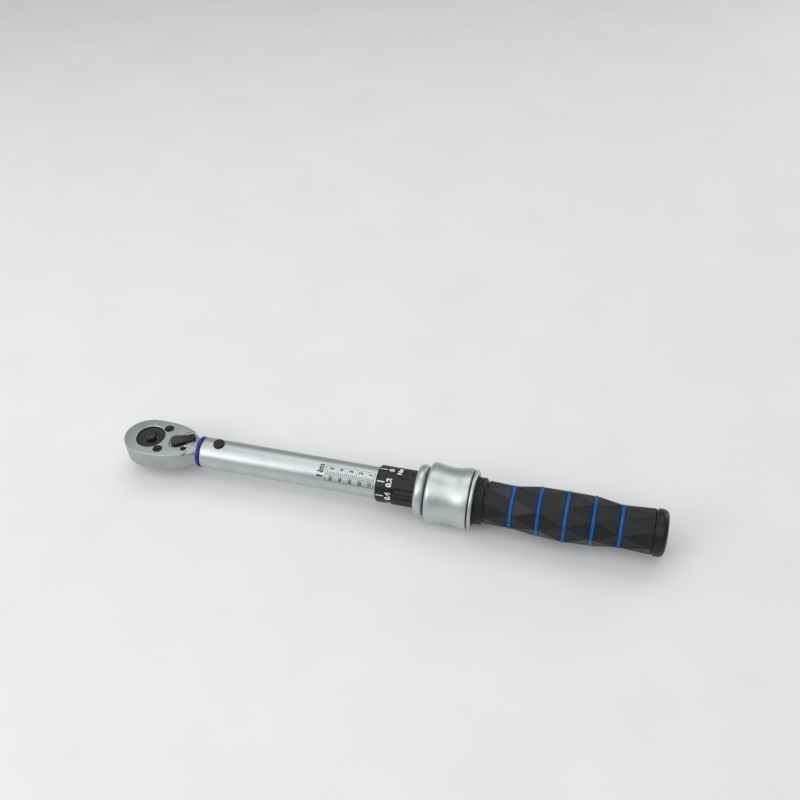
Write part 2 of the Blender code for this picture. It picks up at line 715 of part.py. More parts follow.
def build_handle():
    sleeve = turned("micrometer_sleeve", [
        (SLEEVE_START, 8.7), (SLEEVE_START + 0.9, SLEEVE_RADIUS), (SLEEVE_WAIST, SLEEVE_RADIUS),
        (SLEEVE_WAIST + 0.5, SLEEVE_RADIUS - 0.1), (SLEEVE_END, SLEEVE_RADIUS - 0.1),
        (SLEEVE_END, SLEEVE_BORE),
        (SLEEVE_START, SLEEVE_BORE)], "black_steel")
    core = turned("handle_core", [
        (CORE_START, CORE_RADIUS), (CORE_END, CORE_RADIUS), (CORE_END, STEM_HOLE),
        (CORE_END - CORE_WALL, STEM_HOLE), (CORE_END - CORE_WALL, CORE_BORE),
        (CORE_START, CORE_BORE)], "satin_aluminium")
    neck_ring = turned("neck_ring", NECK_RING, "black_plastic")
    screw = turned("adjusting_screw", [
        (SCREW_FRONT, 0), (SCREW_FRONT, SCREW_RADIUS - 0.6), (SCREW_FRONT + 0.6, SCREW_RADIUS),
        (FLANGE_START, SCREW_RADIUS), (FLANGE_START, FLANGE_RADIUS), (FLANGE_END, FLANGE_RADIUS),
        (FLANGE_END, STEM_RADIUS), (STEM_END, STEM_RADIUS), (STEM_END, 0)],
        "bright_steel", steps=INNER)
    nut_corner, nut_end = SCREW_NUT
    nut = rod("screw_nut", (CORE_END + REST_GAP, 0, 0), (nut_end, 0, 0), nut_corner,
              "bright_steel", 6)
    cut(nut, rod("nut_hole", (CORE_END - 1, 0, 0), (nut_end + 2, 0, 0), STEM_HOLE, None, 16))
    cavity_end, cavity_radius = CAP_CAVITY
    lip = GRIP_END + REST_GAP
    cap = turned("end_cap", [
        (CAP_START, CORE_RADIUS), (lip, CORE_RADIUS), (lip, CAP_RADIUS - 0.8),
        (lip + 0.9, CAP_RADIUS - 0.8), (lip + 1.1, CAP_RADIUS - 0.1), (CAP_END - 3.0, CAP_RADIUS),
        (CAP_END - 1.4, CAP_RADIUS - 0.5), (CAP_END - 0.4, CAP_RADIUS - 1.6),
        (CAP_END, CAP_RADIUS - 3.2), (CAP_END, 0.0), (cavity_end, 0.0), (cavity_end, cavity_radius),
        (CAP_START, cavity_radius)], "black_plastic")
    balls = []
    for i in range(3):
        a = math.radians(90 + 120 * i)
        y, z = math.cos(a), math.sin(a)
        hole = rod(f"lock_ball_hole_{i}", (LOCK_BALL_X, 7.6 * y, 7.6 * z),
                   (LOCK_BALL_X, 12 * y, 12 * z), LOCK_BALL_RADIUS + 0.2, None, 16)
        cut(sleeve, hole)
        centre = (LOCK_BALL_X, LOCK_BALL_CENTRE * y, LOCK_BALL_CENTRE * z)
        balls.append(ball(f"lock_ball_{i + 1}", centre, LOCK_BALL_RADIUS, "bright_steel"))
    return [sleeve, core, neck_ring, screw, nut, cap, *balls, *build_grip()]


def build_collar():
    start, end, groove = BALL_GROOVE
    front, rear = COLLAR_OUTSIDE[0][0], COLLAR_OUTSIDE[-1][0]
    inside = [(rear, COLLAR_CAVITY), (COLLAR_SHOULDER, COLLAR_CAVITY), (COLLAR_SHOULDER, COLLAR_BORE),
              (end, COLLAR_BORE), (end, groove), (start, groove), (start, COLLAR_BORE),
              (front, COLLAR_BORE)]
    collar = turned("lock_collar", COLLAR_OUTSIDE + inside, "satin_aluminium")
    spring = coil("collar_spring", COLLAR_SHOULDER + 0.9, 167.2, 4, 10.7, 0.5, "spring_steel",
                  steps=14)
    return collar, spring


# ---------------------------------------------------------------- assembly

clear_scene()
PARTS = collection("torque_wrench")
CUTTERS = collection("cutters")

spindle, button, button_spring, detent = build_spindle()
lever, lever_plunger, lever_spring = build_lever()
pawl, pawl_pin = build_pawl()
head_pieces = build_head()
build_housing()
tilt = build_tilt_block()
seat_pieces = build_spring_seat()
handle_pieces = build_handle()
collar, collar_spring = build_collar()

button_axis = empty("button_axis", 0, 0, 0, [button, button_spring, detent])
spindle_axis = empty("drive_axis", 0, 0, 0, [spindle, button_axis])
lever_axis = empty("lever_axis", LEVER_X, 0, 0, [lever, lever_plunger, lever_spring])
pawl_axis = empty("pawl_axis", PAWL_X, 0, 0, [pawl])
empty("head_axis", PIN_X, 0, 0, [spindle_axis, lever_axis, pawl_axis, pawl_pin, *head_pieces])
empty("tilt_axis", TILT_X, 0, 0, [tilt])
collar_axis = empty("collar_axis", COLLAR_OUTSIDE[0][0], 0, 0, [collar, collar_spring])
empty("handle_axis", SLEEVE_START, 0, 0, [collar_axis, *seat_pieces, *handle_pieces])
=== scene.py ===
import json
import math

import bmesh
import bpy
from mathutils import Matrix, Vector


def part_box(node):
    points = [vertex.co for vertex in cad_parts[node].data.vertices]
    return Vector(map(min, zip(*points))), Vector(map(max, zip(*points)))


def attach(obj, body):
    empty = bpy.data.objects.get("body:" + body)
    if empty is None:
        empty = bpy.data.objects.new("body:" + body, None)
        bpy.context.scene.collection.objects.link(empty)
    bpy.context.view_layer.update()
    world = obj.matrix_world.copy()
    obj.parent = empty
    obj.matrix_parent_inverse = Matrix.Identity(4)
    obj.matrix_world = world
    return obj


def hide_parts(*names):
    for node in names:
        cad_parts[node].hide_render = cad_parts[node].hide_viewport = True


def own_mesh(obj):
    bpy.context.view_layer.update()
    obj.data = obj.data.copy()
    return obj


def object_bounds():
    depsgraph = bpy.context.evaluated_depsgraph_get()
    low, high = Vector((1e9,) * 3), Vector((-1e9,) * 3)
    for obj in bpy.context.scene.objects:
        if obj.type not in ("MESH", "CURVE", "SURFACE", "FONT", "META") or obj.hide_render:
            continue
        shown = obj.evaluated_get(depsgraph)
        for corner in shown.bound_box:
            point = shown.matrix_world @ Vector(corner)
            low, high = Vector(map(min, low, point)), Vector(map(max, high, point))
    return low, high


# Looks for the click-type torque wrench: fine meshes, procedural materials, studio and camera.
#
# Sizes are in millimetres in the wrench's own terms: x runs along the tube from the drive axis,
# heights are from the tube's axis, and angles round the tube run in degrees from +Y over the top
# (90) to the -Y side (180). Helpers turn them into the frame's metres.

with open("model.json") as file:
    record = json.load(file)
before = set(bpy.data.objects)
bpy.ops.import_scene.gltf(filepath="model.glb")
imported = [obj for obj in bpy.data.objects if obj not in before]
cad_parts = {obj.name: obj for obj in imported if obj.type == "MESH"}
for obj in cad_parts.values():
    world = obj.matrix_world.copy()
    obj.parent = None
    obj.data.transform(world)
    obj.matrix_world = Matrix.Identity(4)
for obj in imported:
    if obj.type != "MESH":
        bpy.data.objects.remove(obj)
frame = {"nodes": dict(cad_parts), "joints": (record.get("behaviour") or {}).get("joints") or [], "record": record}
CAD_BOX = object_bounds()
JOINTS = {joint["name"]: joint for joint in frame["joints"]}

MM = 0.001
AXIS = Vector((0.0, 0.0, JOINTS["handle_turn"]["pos_m"][2]))  # a point of the tube's axis
PIN_X = JOINTS["head_click"]["pos_m"][0] / MM
LEVER_X = JOINTS["lever_flip"]["pos_m"][0] / MM
FINE = 160  # sides of a turned piece
SMOOTH_ANGLE = 32.0  # edges that turn by more than this stay sharp
TINY = 1e-6  # a radius below this is a point on the axis


def span(node, axis=0):
    """A CAD node's ends along one axis, in the wrench's millimetres."""
    low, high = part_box(node)
    shift = AXIS[axis]
    return (low[axis] - shift) / MM, (high[axis] - shift) / MM


# ---------- materials

PLASTIC_IOR = 1.49
RUBBED_STEEL = (0.11, 0.11, 0.115)


class Look:
    """A node material in the making."""

    def __init__(self, name, metallic=0.0):
        self.material = bpy.data.materials.new(name)
        self.material.use_nodes = True
        self.nodes = self.material.node_tree.nodes
        self.link = self.material.node_tree.links.new
        self.inputs = self.nodes["Principled BSDF"].inputs
        self.inputs["Metallic"].default_value = metallic

    def noise(self, scale, detail=3.0, rough=0.5, stretch=(1, 1, 1)):
        """Noise over the object's own coordinates in millimetres, stretched where wanted."""
        source = self.nodes.new("ShaderNodeTexCoord")
        mapping = self.nodes.new("ShaderNodeMapping")
        mapping.inputs["Scale"].default_value = [s / MM for s in stretch]
        self.link(source.outputs["Object"], mapping.inputs["Vector"])
        made = self.nodes.new("ShaderNodeTexNoise")
        made.inputs["Scale"].default_value = scale
        made.inputs["Detail"].default_value = detail
        made.inputs["Roughness"].default_value = rough
        self.link(mapping.outputs["Vector"], made.inputs["Vector"])
        return made.outputs["Fac"]

    def ramp(self, source, low, high, start=0.3, end=0.7):
        """Map a 0-1 value to the span between two greys or two colours."""
        made = self.nodes.new("ShaderNodeValToRGB")
        made.color_ramp.elements[0].position = start
        made.color_ramp.elements[1].position = end
        for element, value in zip(made.color_ramp.elements, (low, high)):
            element.color = (*value, 1.0) if isinstance(value, tuple) else (value, value, value, 1.0)
        self.link(source, made.inputs["Fac"])
        return made.outputs["Color"]

    def tone(self, source, dark, light, start=0.3, end=0.7, worn=None):
        """Base colour from dark to light, and worn where an edge turns sharply, if it is given."""
        base = self.ramp(source, dark, light, start, end)
        if worn:
            geometry = self.nodes.new("ShaderNodeNewGeometry")
            mix = self.nodes.new("ShaderNodeMix")
            mix.data_type = "RGBA"
            edges = self.ramp(geometry.outputs["Pointiness"], 0.0, 1.0, 0.52, 0.62)
            self.link(edges, mix.inputs["Factor"])
            self.link(base, mix.inputs["A"])
            mix.inputs["B"].default_value = (*worn, 1.0)
            base = mix.outputs["Result"]
        self.link(base, self.inputs["Base Color"])

    def gloss(self, source, low, high):
        self.link(self.ramp(source, low, high), self.inputs["Roughness"])

    def bump(self, height, depth, under=None):
        """Relief of a depth in millimetres, over another normal where one is given."""
        made = self.nodes.new("ShaderNodeBump")
        made.inputs["Strength"].default_value = 1.0
        made.inputs["Distance"].default_value = depth * MM
        self.link(height, made.inputs["Height"])
        if under:
            self.link(under, made.inputs["Normal"])
        self.link(made.outputs["Normal"], self.inputs["Normal"])
        return made.outputs["Normal"]


def satin_metal(name, dark, light, rough, grain=(1, 1, 1), grain_depth=0.004, blast=9.0):
    """Blasted or brushed metal: soft blotches in tone, fine grain in relief and roughness."""
    look = Look(name, metallic=1.0)
    look.tone(look.noise(0.12, 4.0, 0.6), dark, light, 0.25, 0.75)
    fine = look.noise(blast, 4.0, 0.65, grain)
    look.gloss(fine, rough - 0.05, rough + 0.06)
    look.bump(fine, grain_depth)
    return look.material


def turned_metal(name, dark, light, rough, depth=0.006):
    """Metal off the lathe: hair-fine rings about the tube's axis over a soft satin."""
    look = Look(name, metallic=1.0)
    rings = look.noise(5.0, 5.0, 0.7, (1.0, 0.03, 0.03))
    look.tone(look.noise(0.10), dark, light, 0.25, 0.75)
    look.gloss(rings, rough - 0.06, rough + 0.07)
    look.bump(rings, depth, under=look.bump(look.noise(8.0), 0.002))
    return look.material


def black_steel(name, dark, light, rough):
    """Blackened steel: near-black, faint mottling, a soft metallic sheen and rubbed edges."""
    look = Look(name, metallic=0.3)
    look.tone(look.noise(0.5, 4.0, 0.6), dark, light, worn=RUBBED_STEEL)
    fine = look.noise(7.0, 4.0, 0.6)
    look.gloss(fine, rough - 0.06, rough + 0.08)
    look.bump(fine, 0.006)
    return look.material


def moulded_plastic(name, dark, light, rough, texture=6.0, depth=0.012, shine=0.34, worn=None):
    """Moulded plastic: a fine eroded texture in relief and gloss, and a faint change in tone."""
    look = Look(name)
    look.inputs["IOR"].default_value = PLASTIC_IOR
    look.inputs["Specular IOR Level"].default_value = shine
    look.tone(look.noise(0.25), dark, light, worn=worn)
    fine = look.noise(texture, 3.0, 0.55)
    look.gloss(fine, rough - 0.05, rough + 0.07)
    look.bump(fine, depth)
    return look.material


def paint_mark(name, dark, light, rough):
    """Ink or etched fill: nearly even, a little patchy where it sits on the metal."""
    look = Look(name)
    cloud = look.noise(2.5, 4.0, 0.7)
    look.tone(cloud, dark, light, 0.2, 0.6)
    look.gloss(cloud, rough - 0.08, rough + 0.08)
    return look.material


# looks by name: tones from dark to light, then the roughness
MATERIALS = {
    "plate": satin_metal("satin_plate", (0.40, 0.42, 0.42), (0.49, 0.51, 0.51), 0.40),
    "casting": satin_metal("satin_casting", (0.38, 0.39, 0.39), (0.48, 0.495, 0.495), 0.42,
                           grain_depth=0.008, blast=6.0),
    "tube": satin_metal("satin_tube", (0.49, 0.515, 0.52), (0.58, 0.605, 0.61), 0.43,
                        grain=(0.35, 1, 1), blast=8.0),
    "collar": turned_metal("turned_aluminium", (0.53, 0.555, 0.56), (0.60, 0.625, 0.63), 0.42,
                           0.012),
    "black": black_steel("black_steel", (0.008, 0.0085, 0.0095), (0.018, 0.019, 0.020), 0.44),
    "hub": black_steel("hub_steel", (0.016, 0.0185, 0.0190), (0.028, 0.0315, 0.0320), 0.42),
    "sleeve": black_steel("black_sleeve", (0.006, 0.0065, 0.0075), (0.013, 0.014, 0.015), 0.38),
    "grip": moulded_plastic("grip_plastic", (0.0042, 0.0056, 0.0070), (0.0078, 0.0100, 0.0122),
                            0.36, worn=(0.022, 0.024, 0.026)),
    "neck": moulded_plastic("ring_plastic", (0.006, 0.007, 0.008), (0.010, 0.011, 0.0125), 0.38),
    "blue": moulded_plastic("blue_plastic", (0.0004, 0.078, 0.31), (0.0008, 0.110, 0.42),
                            0.2, 3.0, 0.003, shine=0.2),
    "dark_blue": moulded_plastic("dark_blue_plastic", (0.008, 0.018, 0.22), (0.013, 0.028, 0.30),
                                 0.32, 3.0, 0.006),
    "white_ink": paint_mark("white_ink", (0.62, 0.62, 0.62), (0.86, 0.86, 0.86), 0.45),
    "etched": paint_mark("etched_fill", (0.015, 0.017, 0.020), (0.045, 0.047, 0.05), 0.6),
    "bright": turned_metal("ground_steel", (0.55, 0.55, 0.54), (0.66, 0.66, 0.65), 0.24, 0.003),
    "spring": satin_metal("spring_wire", (0.22, 0.22, 0.23), (0.32, 0.32, 0.33), 0.34),
    "brass": turned_metal("brass", (0.62, 0.44, 0.17), (0.74, 0.55, 0.24), 0.28),
}
# the look of each slot, for the CAD nodes that still show
CAD_LOOKS = {"satin_steel": "casting", "bright_steel": "bright", "satin_aluminium": "collar",
             "black_steel": "black", "black_plastic": "neck", "blue_plastic": "blue",
             "dark_blue": "dark_blue", "spring_steel": "spring", "brass": "brass"}


# ---------- mesh helpers

def place(x, y, z):
    """A point of the wrench in the frame's metres."""
    return Vector((x, y, z)) * MM + AXIS


def around(x, radius, degrees):
    """A point at that angle round the tube's axis."""
    a = math.radians(degrees)
    return place(x, radius * math.cos(a), radius * math.sin(a))


def add_object(name, data):
    made = bpy.data.objects.new(name, data)
    bpy.context.scene.collection.objects.link(made)
    return made


def to_mesh(name, shape):
    """A mesh from an edited shape, which is then freed."""
    mesh = bpy.data.meshes.new(name)
    shape.to_mesh(mesh)
    shape.free()
    return mesh


def finish_mesh(name, shape, look, angle=SMOOTH_ANGLE):
    """An object from a closed shape, smooth except at its sharper edges."""
    bmesh.ops.recalc_face_normals(shape, faces=shape.faces)
    mesh = to_mesh(name, shape)
    mesh.shade_smooth()
    mesh.set_sharp_from_angle(angle=math.radians(angle))
    if look:
        mesh.materials.append(MATERIALS[look])
    return add_object(name, mesh)


def bridge(shape, first, second):
    """Faces that join two closed loops of as many vertices."""
    count = len(first)
    for k in range(count):
        n = (k + 1) % count
        shape.faces.new((first[k], first[n], second[n], second[k]))


def rounded(profile, steps=4):
    """Replace each (a, b, size) corner of a profile by a curve that starts size before it."""
    points = []
    count = len(profile)
    for i, corner in enumerate(profile):
        here = Vector(corner[:2])
        if len(corner) < 3 or not corner[2]:
            points.append(tuple(here))
            continue
        before, after = Vector(profile[i - 1][:2]), Vector(profile[(i + 1) % count][:2])
        a = here + (before - here).normalized() * min(corner[2], (before - here).length * 0.49)
        b = here + (after - here).normalized() * min(corner[2], (after - here).length * 0.49)
        for k in range(steps + 1):
            t = k / steps
            points.append(tuple(a * (1 - t) ** 2 + here * 2 * t * (1 - t) + b * t * t))
    return points


def lathe(name, profile, look, along="X", centre=(0.0, 0.0), sides=FINE, shape_radius=None):
    """A turned piece from (place, radius) points; ends at radius 0 close it, others join up.

    A third value rounds a corner, and shape_radius can vary a radius with the place and angle.
    """
    points = rounded(profile)
    shape = bmesh.new()

    def spot(position, radius, angle):
        if shape_radius:
            radius = shape_radius(position, radius, angle)
        a, b = radius * math.cos(angle), radius * math.sin(angle)
        return place(position, a, b) if along == "X" else place(centre[0] + a, centre[1] + b, position)

    loops = []
    for position, radius in points:
        if radius < TINY:
            loops.append([shape.verts.new(spot(position, 0.0, 0.0))])
        else:
            loops.append([shape.verts.new(spot(position, radius, 2 * math.pi * k / sides))
                          for k in range(sides)])
    pairs = list(zip(loops, loops[1:]))
    if points[0][1] > TINY:
        pairs.append((loops[-1], loops[0]))
    for a, b in pairs:
        if len(a) > 1 and len(b) > 1:
            bridge(shape, a, b)
        elif len(a) > 1 or len(b) > 1:
            for k in range(sides):
                n = (k + 1) % sides
                shape.faces.new((a[0], b[n], b[k]) if len(a) == 1 else (a[k], a[n], b[0]))
    return finish_mesh(name, shape, look)


def skin(name, loops, look, angle=SMOOTH_ANGLE):
    """A closed skin over loops of equal length, with flat ends."""
    shape = bmesh.new()
    rings = [[shape.verts.new(p) for p in loop] for loop in loops]
    for a, b in zip(rings, rings[1:]):
        bridge(shape, a, b)
    shape.faces.new(rings[0])
    shape.faces.new(list(reversed(rings[-1])))
    return finish_mesh(name, shape, look, angle)


def inset(points, amount):
    """A closed outline moved inwards by amount."""
    found = []
    count = len(points)
    for i in range(count):
        before, here, after = (Vector(points[(i + k) % count]) for k in (-1, 0, 1))
        way = (after - before).normalized()
        normal = Vector((-way.y, way.x))
        found.append(here + normal * amount)
    return found


def edge_levels(bottom, top, low_round, high_round, steps=5):
    """(height, inset) pairs of a slab whose lower and upper edges are rounded."""
    levels = [(bottom + low_round * (1 - math.cos(math.pi / 2 * k / steps)),
               low_round * (1 - math.sin(math.pi / 2 * k / steps))) for k in range(steps + 1)]
    levels += [(top - high_round * (1 - math.sin(math.pi / 2 * k / steps)),
                high_round * (1 - math.cos(math.pi / 2 * k / steps))) for k in range(steps + 1)]
    return levels


def slab(name, outline, levels, look):
    """A plate with the anticlockwise outline; levels give each height and how far it is inset."""
    loops = []
    for height, amount in levels:
        loops.append([place(p[0], p[1], height) for p in inset(outline, amount)])
    return skin(name, loops, look)


def combine(target, other, operation="DIFFERENCE"):
    """Apply a Boolean with another object, which is then removed."""
    step = target.modifiers.new("boolean", "BOOLEAN")
    step.operation = operation
    step.solver = "EXACT"
    step.object = other
    evaluated = target.evaluated_get(bpy.context.evaluated_depsgraph_get())
    mesh = bpy.data.meshes.new_from_object(evaluated)
    target.modifiers.remove(step)
    old = target.data
    target.data = mesh
    bpy.data.meshes.remove(old)
    bpy.data.objects.remove(other, do_unlink=True)
    mesh.shade_smooth()
    mesh.set_sharp_from_angle(angle=math.radians(SMOOTH_ANGLE))


def between(a, b, c, d, per):
    """Steps of the smooth curve from b towards c that runs on from a and towards d."""
    a, b, c, d = (Vector(p) for p in (a, b, c, d))
    return [0.5 * (2 * b + (c - a) * t + (2 * a - 5 * b + 4 * c - d) * t * t
                   + (3 * b - a - 3 * c + d) * t ** 3) for t in (k / per for k in range(per))]


def spline(points, per):
    """A smooth curve through the points, per steps between each two."""
    found = []
    ends = [points[0]] + points + [points[-1]]
    for corners in zip(ends, ends[1:], ends[2:], ends[3:]):
        found += [tuple(p) for p in between(*corners, per)]
    return found + [points[-1]]


def cutter(profile, along="Z", centre=(0.0, 0.0), sides=96):
    """A turned shape to take away from a piece."""
    return lathe("cutter", profile, None, along, centre, sides)


def hole_cutter(x, y, radius, bottom, top, chamfer, sides=96):
    """A cutter for a round hole with a chamfered mouth at top."""
    return cutter([(bottom, 0), (bottom, radius), (top - chamfer, radius),
                   (top + 0.1, radius + chamfer + 0.1), (top + 1.5, radius + chamfer + 0.1),
                   (top + 1.5, 0)], "Z", (x, y), sides)


def arc(centre, radius, start, end, count):
    """Points of an arc between two angles in degrees."""
    angles = [math.radians(start + (end - start) * i / count) for i in range(count + 1)]
    return [(centre[0] + radius * math.cos(a), centre[1] + radius * math.sin(a)) for a in angles]


def show(piece, body, look, *nodes):
    """The piece moves with a body and stands for the CAD nodes named."""
    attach(piece, body)
    if nodes:
        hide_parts(*nodes)


# ---------- ratchet head

HEAD_TOP = 5.0
PLATE_BOTTOM = 3.4
HEAD_BOTTOM = -6.0
HEAD_FRONT = 14.0
FLANK = [(3.0, 12.3), (18.0, 12.5), (23.0, 7.2), (27.1, 5.3)]  # a Bezier curve's four points
SLAB_END = 22.8  # the flat-sided part of the casting ends inside the neck
NECK_TOP = 4.96  # the casting behind the cover plate, a little below it
PLATE_SIDE_END = 21.1  # where the plate's sides meet its round rear edge
PLATE_ARC = (4.6, 19.0)  # centre and radius of that edge
PLATE_COVER = 0.3  # the casting covers the rounding of that edge
SCRIBED_LINE = ((16.4, 5.4), (21.6, 9.2))  # a fine V line on each side of the lever
LINE_WIDTH = 1.1
LINE_DEPTH = 0.3
BIG_SCREW = (2.45, 1.05, 0.08)  # radii of head and shank, then the chamfer of its hole
SMALL_SCREW = (1.4, 0.75, 0.4)
COVER_SCREWS = [(x, side * y, screw) for x, y, screw in ((7.3, 7.4, BIG_SCREW),
                                                         (20.2, 4.15, SMALL_SCREW))
                for side in (1, -1)]
SCREW_TOP = 4.45
HUB_TOP = 3.9
HUB_HOLE = 7.5
PIN_BORE = 3.0
POCKET_FLOOR = 4.3
PLATE_SHARP = 20  # keeps the pocket's shallow slope crisp
SHAFT_BORE = 2.55  # the lever's shaft in the plate


def flank_point(t):
    """A point of the head's flank, for t from 0 to 1."""
    weights = ((1 - t) ** 3, 3 * t * (1 - t) ** 2, 3 * t * t * (1 - t), t ** 3)
    return tuple(sum(w * p[k] for w, p in zip(weights, FLANK)) for k in (0, 1))


def head_outline(end):
    """Anticlockwise outline from the +Y flank over the front to the -Y flank, up to x = end."""
    upper = [flank_point(i / 40) for i in range(41)]
    upper = [p for p in upper if p[0] < end]
    half = upper[0][1]
    front = [(-HEAD_FRONT * math.sin(math.pi * i / 60), half * math.cos(math.pi * i / 60))
             for i in range(61)]
    lower = [(x, -y) for x, y in upper]
    return list(reversed(upper)) + front + lower


def half_width(x):
    """The head's half width at a place along its flank."""
    best = min((flank_point(i / 400) for i in range(401)), key=lambda p: abs(p[0] - x))
    return best[1]


def oval(x, half, low, high, power, count=96):
    """A cross-section between an ellipse (power 2) and a rounded box (power 6)."""
    middle, rise = (low + high) / 2, (high - low) / 2
    loop = []
    for k in range(count):
        a = 2 * math.pi * k / count
        c, s = math.cos(a), math.sin(a)
        y = half * math.copysign(abs(c) ** (2 / power), c)
        z = middle + rise * math.copysign(abs(s) ** (2 / power), s)
        loop.append(place(x, y, z))
    return loop


def build_casting():
    """Head casting: flat-sided ratchet box that runs into a round neck, then the hidden tang."""
    box = slab("head_casting", head_outline(SLAB_END),
               edge_levels(HEAD_BOTTOM, PLATE_BOTTOM - 0.12, 1.3, 0.2), "casting")
    # each section's x, half width, bottom, top and power
    sections = [(17.5, half_width(17.5) - 1.2, -5.6, 3.6, 5.0),
                (19.0, half_width(19.0) - 0.7, -5.8, 4.6, 5.0),
                (20.0, half_width(20.0) - 0.3, -5.8, NECK_TOP, 5.0),
                (22.0, half_width(22.0) - 0.1, -5.8, NECK_TOP, 4.8),
                (23.6, half_width(23.6), -5.75, NECK_TOP, 4.4),
                (25.0, half_width(25.0), -5.6, NECK_TOP, 3.8),
                (26.4, 5.5, -5.4, NECK_TOP, 3.2), (27.4, 5.3, -5.25, 5.0, 2.5),
                (28.4, 5.2, -5.2, 5.2, 2.0), (46.0, 5.2, -5.2, 5.2, 2.0),
                (48.0, 3.4, -3.8, 3.8, 4.0), (79.6, 3.2, -3.6, 3.6, 6.0), (80.0, 2.9, -3.3, 3.3, 6.0)]
    neck = skin("neck", [oval(*section) for section in sections], "casting")
    combine(box, neck, "UNION")
    reach = PLATE_ARC[1] - PLATE_COVER
    low = PLATE_BOTTOM - 0.1
    combine(box, cutter([(low, 0), (low, reach), (9.0, reach), (9.0, 0)], "Z", (PLATE_ARC[0], 0),
                        256))
    combine(box, cutter([(-9, 0), (-9, 6.9), (-6.2, 6.9), (-5.7, 6.35), (-3.6, 6.35), (-3.6, 0)]))
    combine(box, cutter([(-9, 0), (-9, PIN_BORE), (9, PIN_BORE), (9, 0)], "Z", (PIN_X, 0)))
    show(box, "head", "casting", "head_body")


def lever_pocket():
    """Cutter for the shallow pocket that the lever's wide end sweeps over."""
    loops = []
    for height, grow in ((POCKET_FLOOR, 0.0), (4.5, 0.0), (5.05, 0.45), (6.0, 0.45)):
        points = arc((LEVER_X, 0), 5.5 + grow, 118, 242, 32)
        points += arc((LEVER_X, 0), 3.7 + grow, -62, 62, 24)
        loops.append([place(x, y, height) for x, y in points])
    return skin("cutter", loops, None)


def line_cutter(side):
    """A long three-sided prism that leaves a fine V line in the plate's top."""
    (xa, ya), (xb, yb) = SCRIBED_LINE
    along = Vector((xb - xa, (yb - ya) * side, 0)).normalized()
    across = Vector((-along.y, along.x, 0)) * -side
    rise = Vector((0, 0, LINE_DEPTH))
    loops = []
    for x, y in ((xa, ya * side), (xb, yb * side)):
        middle = Vector((x, y, HEAD_TOP))
        corners = (middle + across * LINE_WIDTH + rise, middle + rise, middle - rise)
        loops.append([place(*corner) for corner in corners])
    return skin("cutter", loops, None)


def build_plate():
    """Cover plate with holes for hub, shaft and screws, the lever's pocket and two fine lines."""
    outline = head_outline(PLATE_SIDE_END)
    start = math.degrees(math.atan2(outline[-1][1], outline[-1][0] - PLATE_ARC[0]))
    outline += arc((PLATE_ARC[0], 0), PLATE_ARC[1], start, -start, 36)[1:-1]
    plate = slab("ratchet_cover", outline, edge_levels(PLATE_BOTTOM, HEAD_TOP, 0.1, 0.42), "plate")
    combine(plate, hole_cutter(0, 0, HUB_HOLE, 2, HEAD_TOP, 0.26, FINE))
    combine(plate, hole_cutter(LEVER_X, 0, SHAFT_BORE, 2, POCKET_FLOOR, 0.05))
    for x, y, (head, _, chamfer) in COVER_SCREWS:
        combine(plate, hole_cutter(x, y, head + 0.06, 2, HEAD_TOP, chamfer))
    combine(plate, lever_pocket())
    for side in (-1, 1):
        combine(plate, line_cutter(side))
    plate.data.set_sharp_from_angle(angle=math.radians(PLATE_SHARP))
    show(plate, "head", "plate", "cover_plate")


def build_screws():
    """Four black screws with sunk hexagon sockets, two large and two small."""
    for i, (x, y, (head, shank, _)) in enumerate(COVER_SCREWS):
        low = span(f"cover_screw_{i + 1}", 2)[0]
        screw = lathe(f"socket_screw_{i + 1}", [
            (low, 0), (low, shank, 0.15), (3.7, shank), (3.7, head, 0.1),
            (SCREW_TOP, head, 0.28), (SCREW_TOP - 0.02, head * 0.62, 0.05),
            (SCREW_TOP - 0.14, head * 0.56), (SCREW_TOP - 0.14, 0)], "black", "Z", (x, y), 64)
        combine(screw, cutter([(SCREW_TOP - 0.8, 0), (SCREW_TOP - 0.7, head * 0.45),
                               (SCREW_TOP - 0.16, head * 0.5), (SCREW_TOP + 1, head * 0.5),
                               (SCREW_TOP + 1, 0)], "Z", (x, y), 6))
        show(screw, "head", "black", f"cover_screw_{i + 1}")


# ---------- drive spindle

GEAR_TEETH = 36
GEAR_ROOT = 7.6
GEAR_TIP = 8.18
SQUARE_HALF = 3.175
SPINDLE_BORE = 3.5  # the button slides in it
BALL_X = 2.475
BALL_HEIGHT = -11.0
BALL_RADIUS = 1.2
BALL_BORE = 1.3


def gear_loop(height):
    """The ratchet gear's outline."""
    loop = []
    for tooth in range(GEAR_TEETH):
        for share, radius in ((-0.12, GEAR_ROOT), (0.12, GEAR_ROOT), (0.36, GEAR_TIP),
                              (0.64, GEAR_TIP)):
            a = math.radians((tooth + share) * (360 / GEAR_TEETH))
            loop.append(place(radius * math.cos(a), radius * math.sin(a), height))
    return loop


def square_loop(half, corner, height):
    """The drive square's outline, with rounded corners."""
    loop = []
    for quarter in range(4):
        middle = math.radians(45 + 90 * quarter)
        cx = math.copysign(half - corner, math.cos(middle))
        cy = math.copysign(half - corner, math.sin(middle))
        loop += [place(x, y, height) for x, y in
                 arc((cx, cy), corner, 90 * quarter, 90 * quarter + 90, 5)]
    return loop


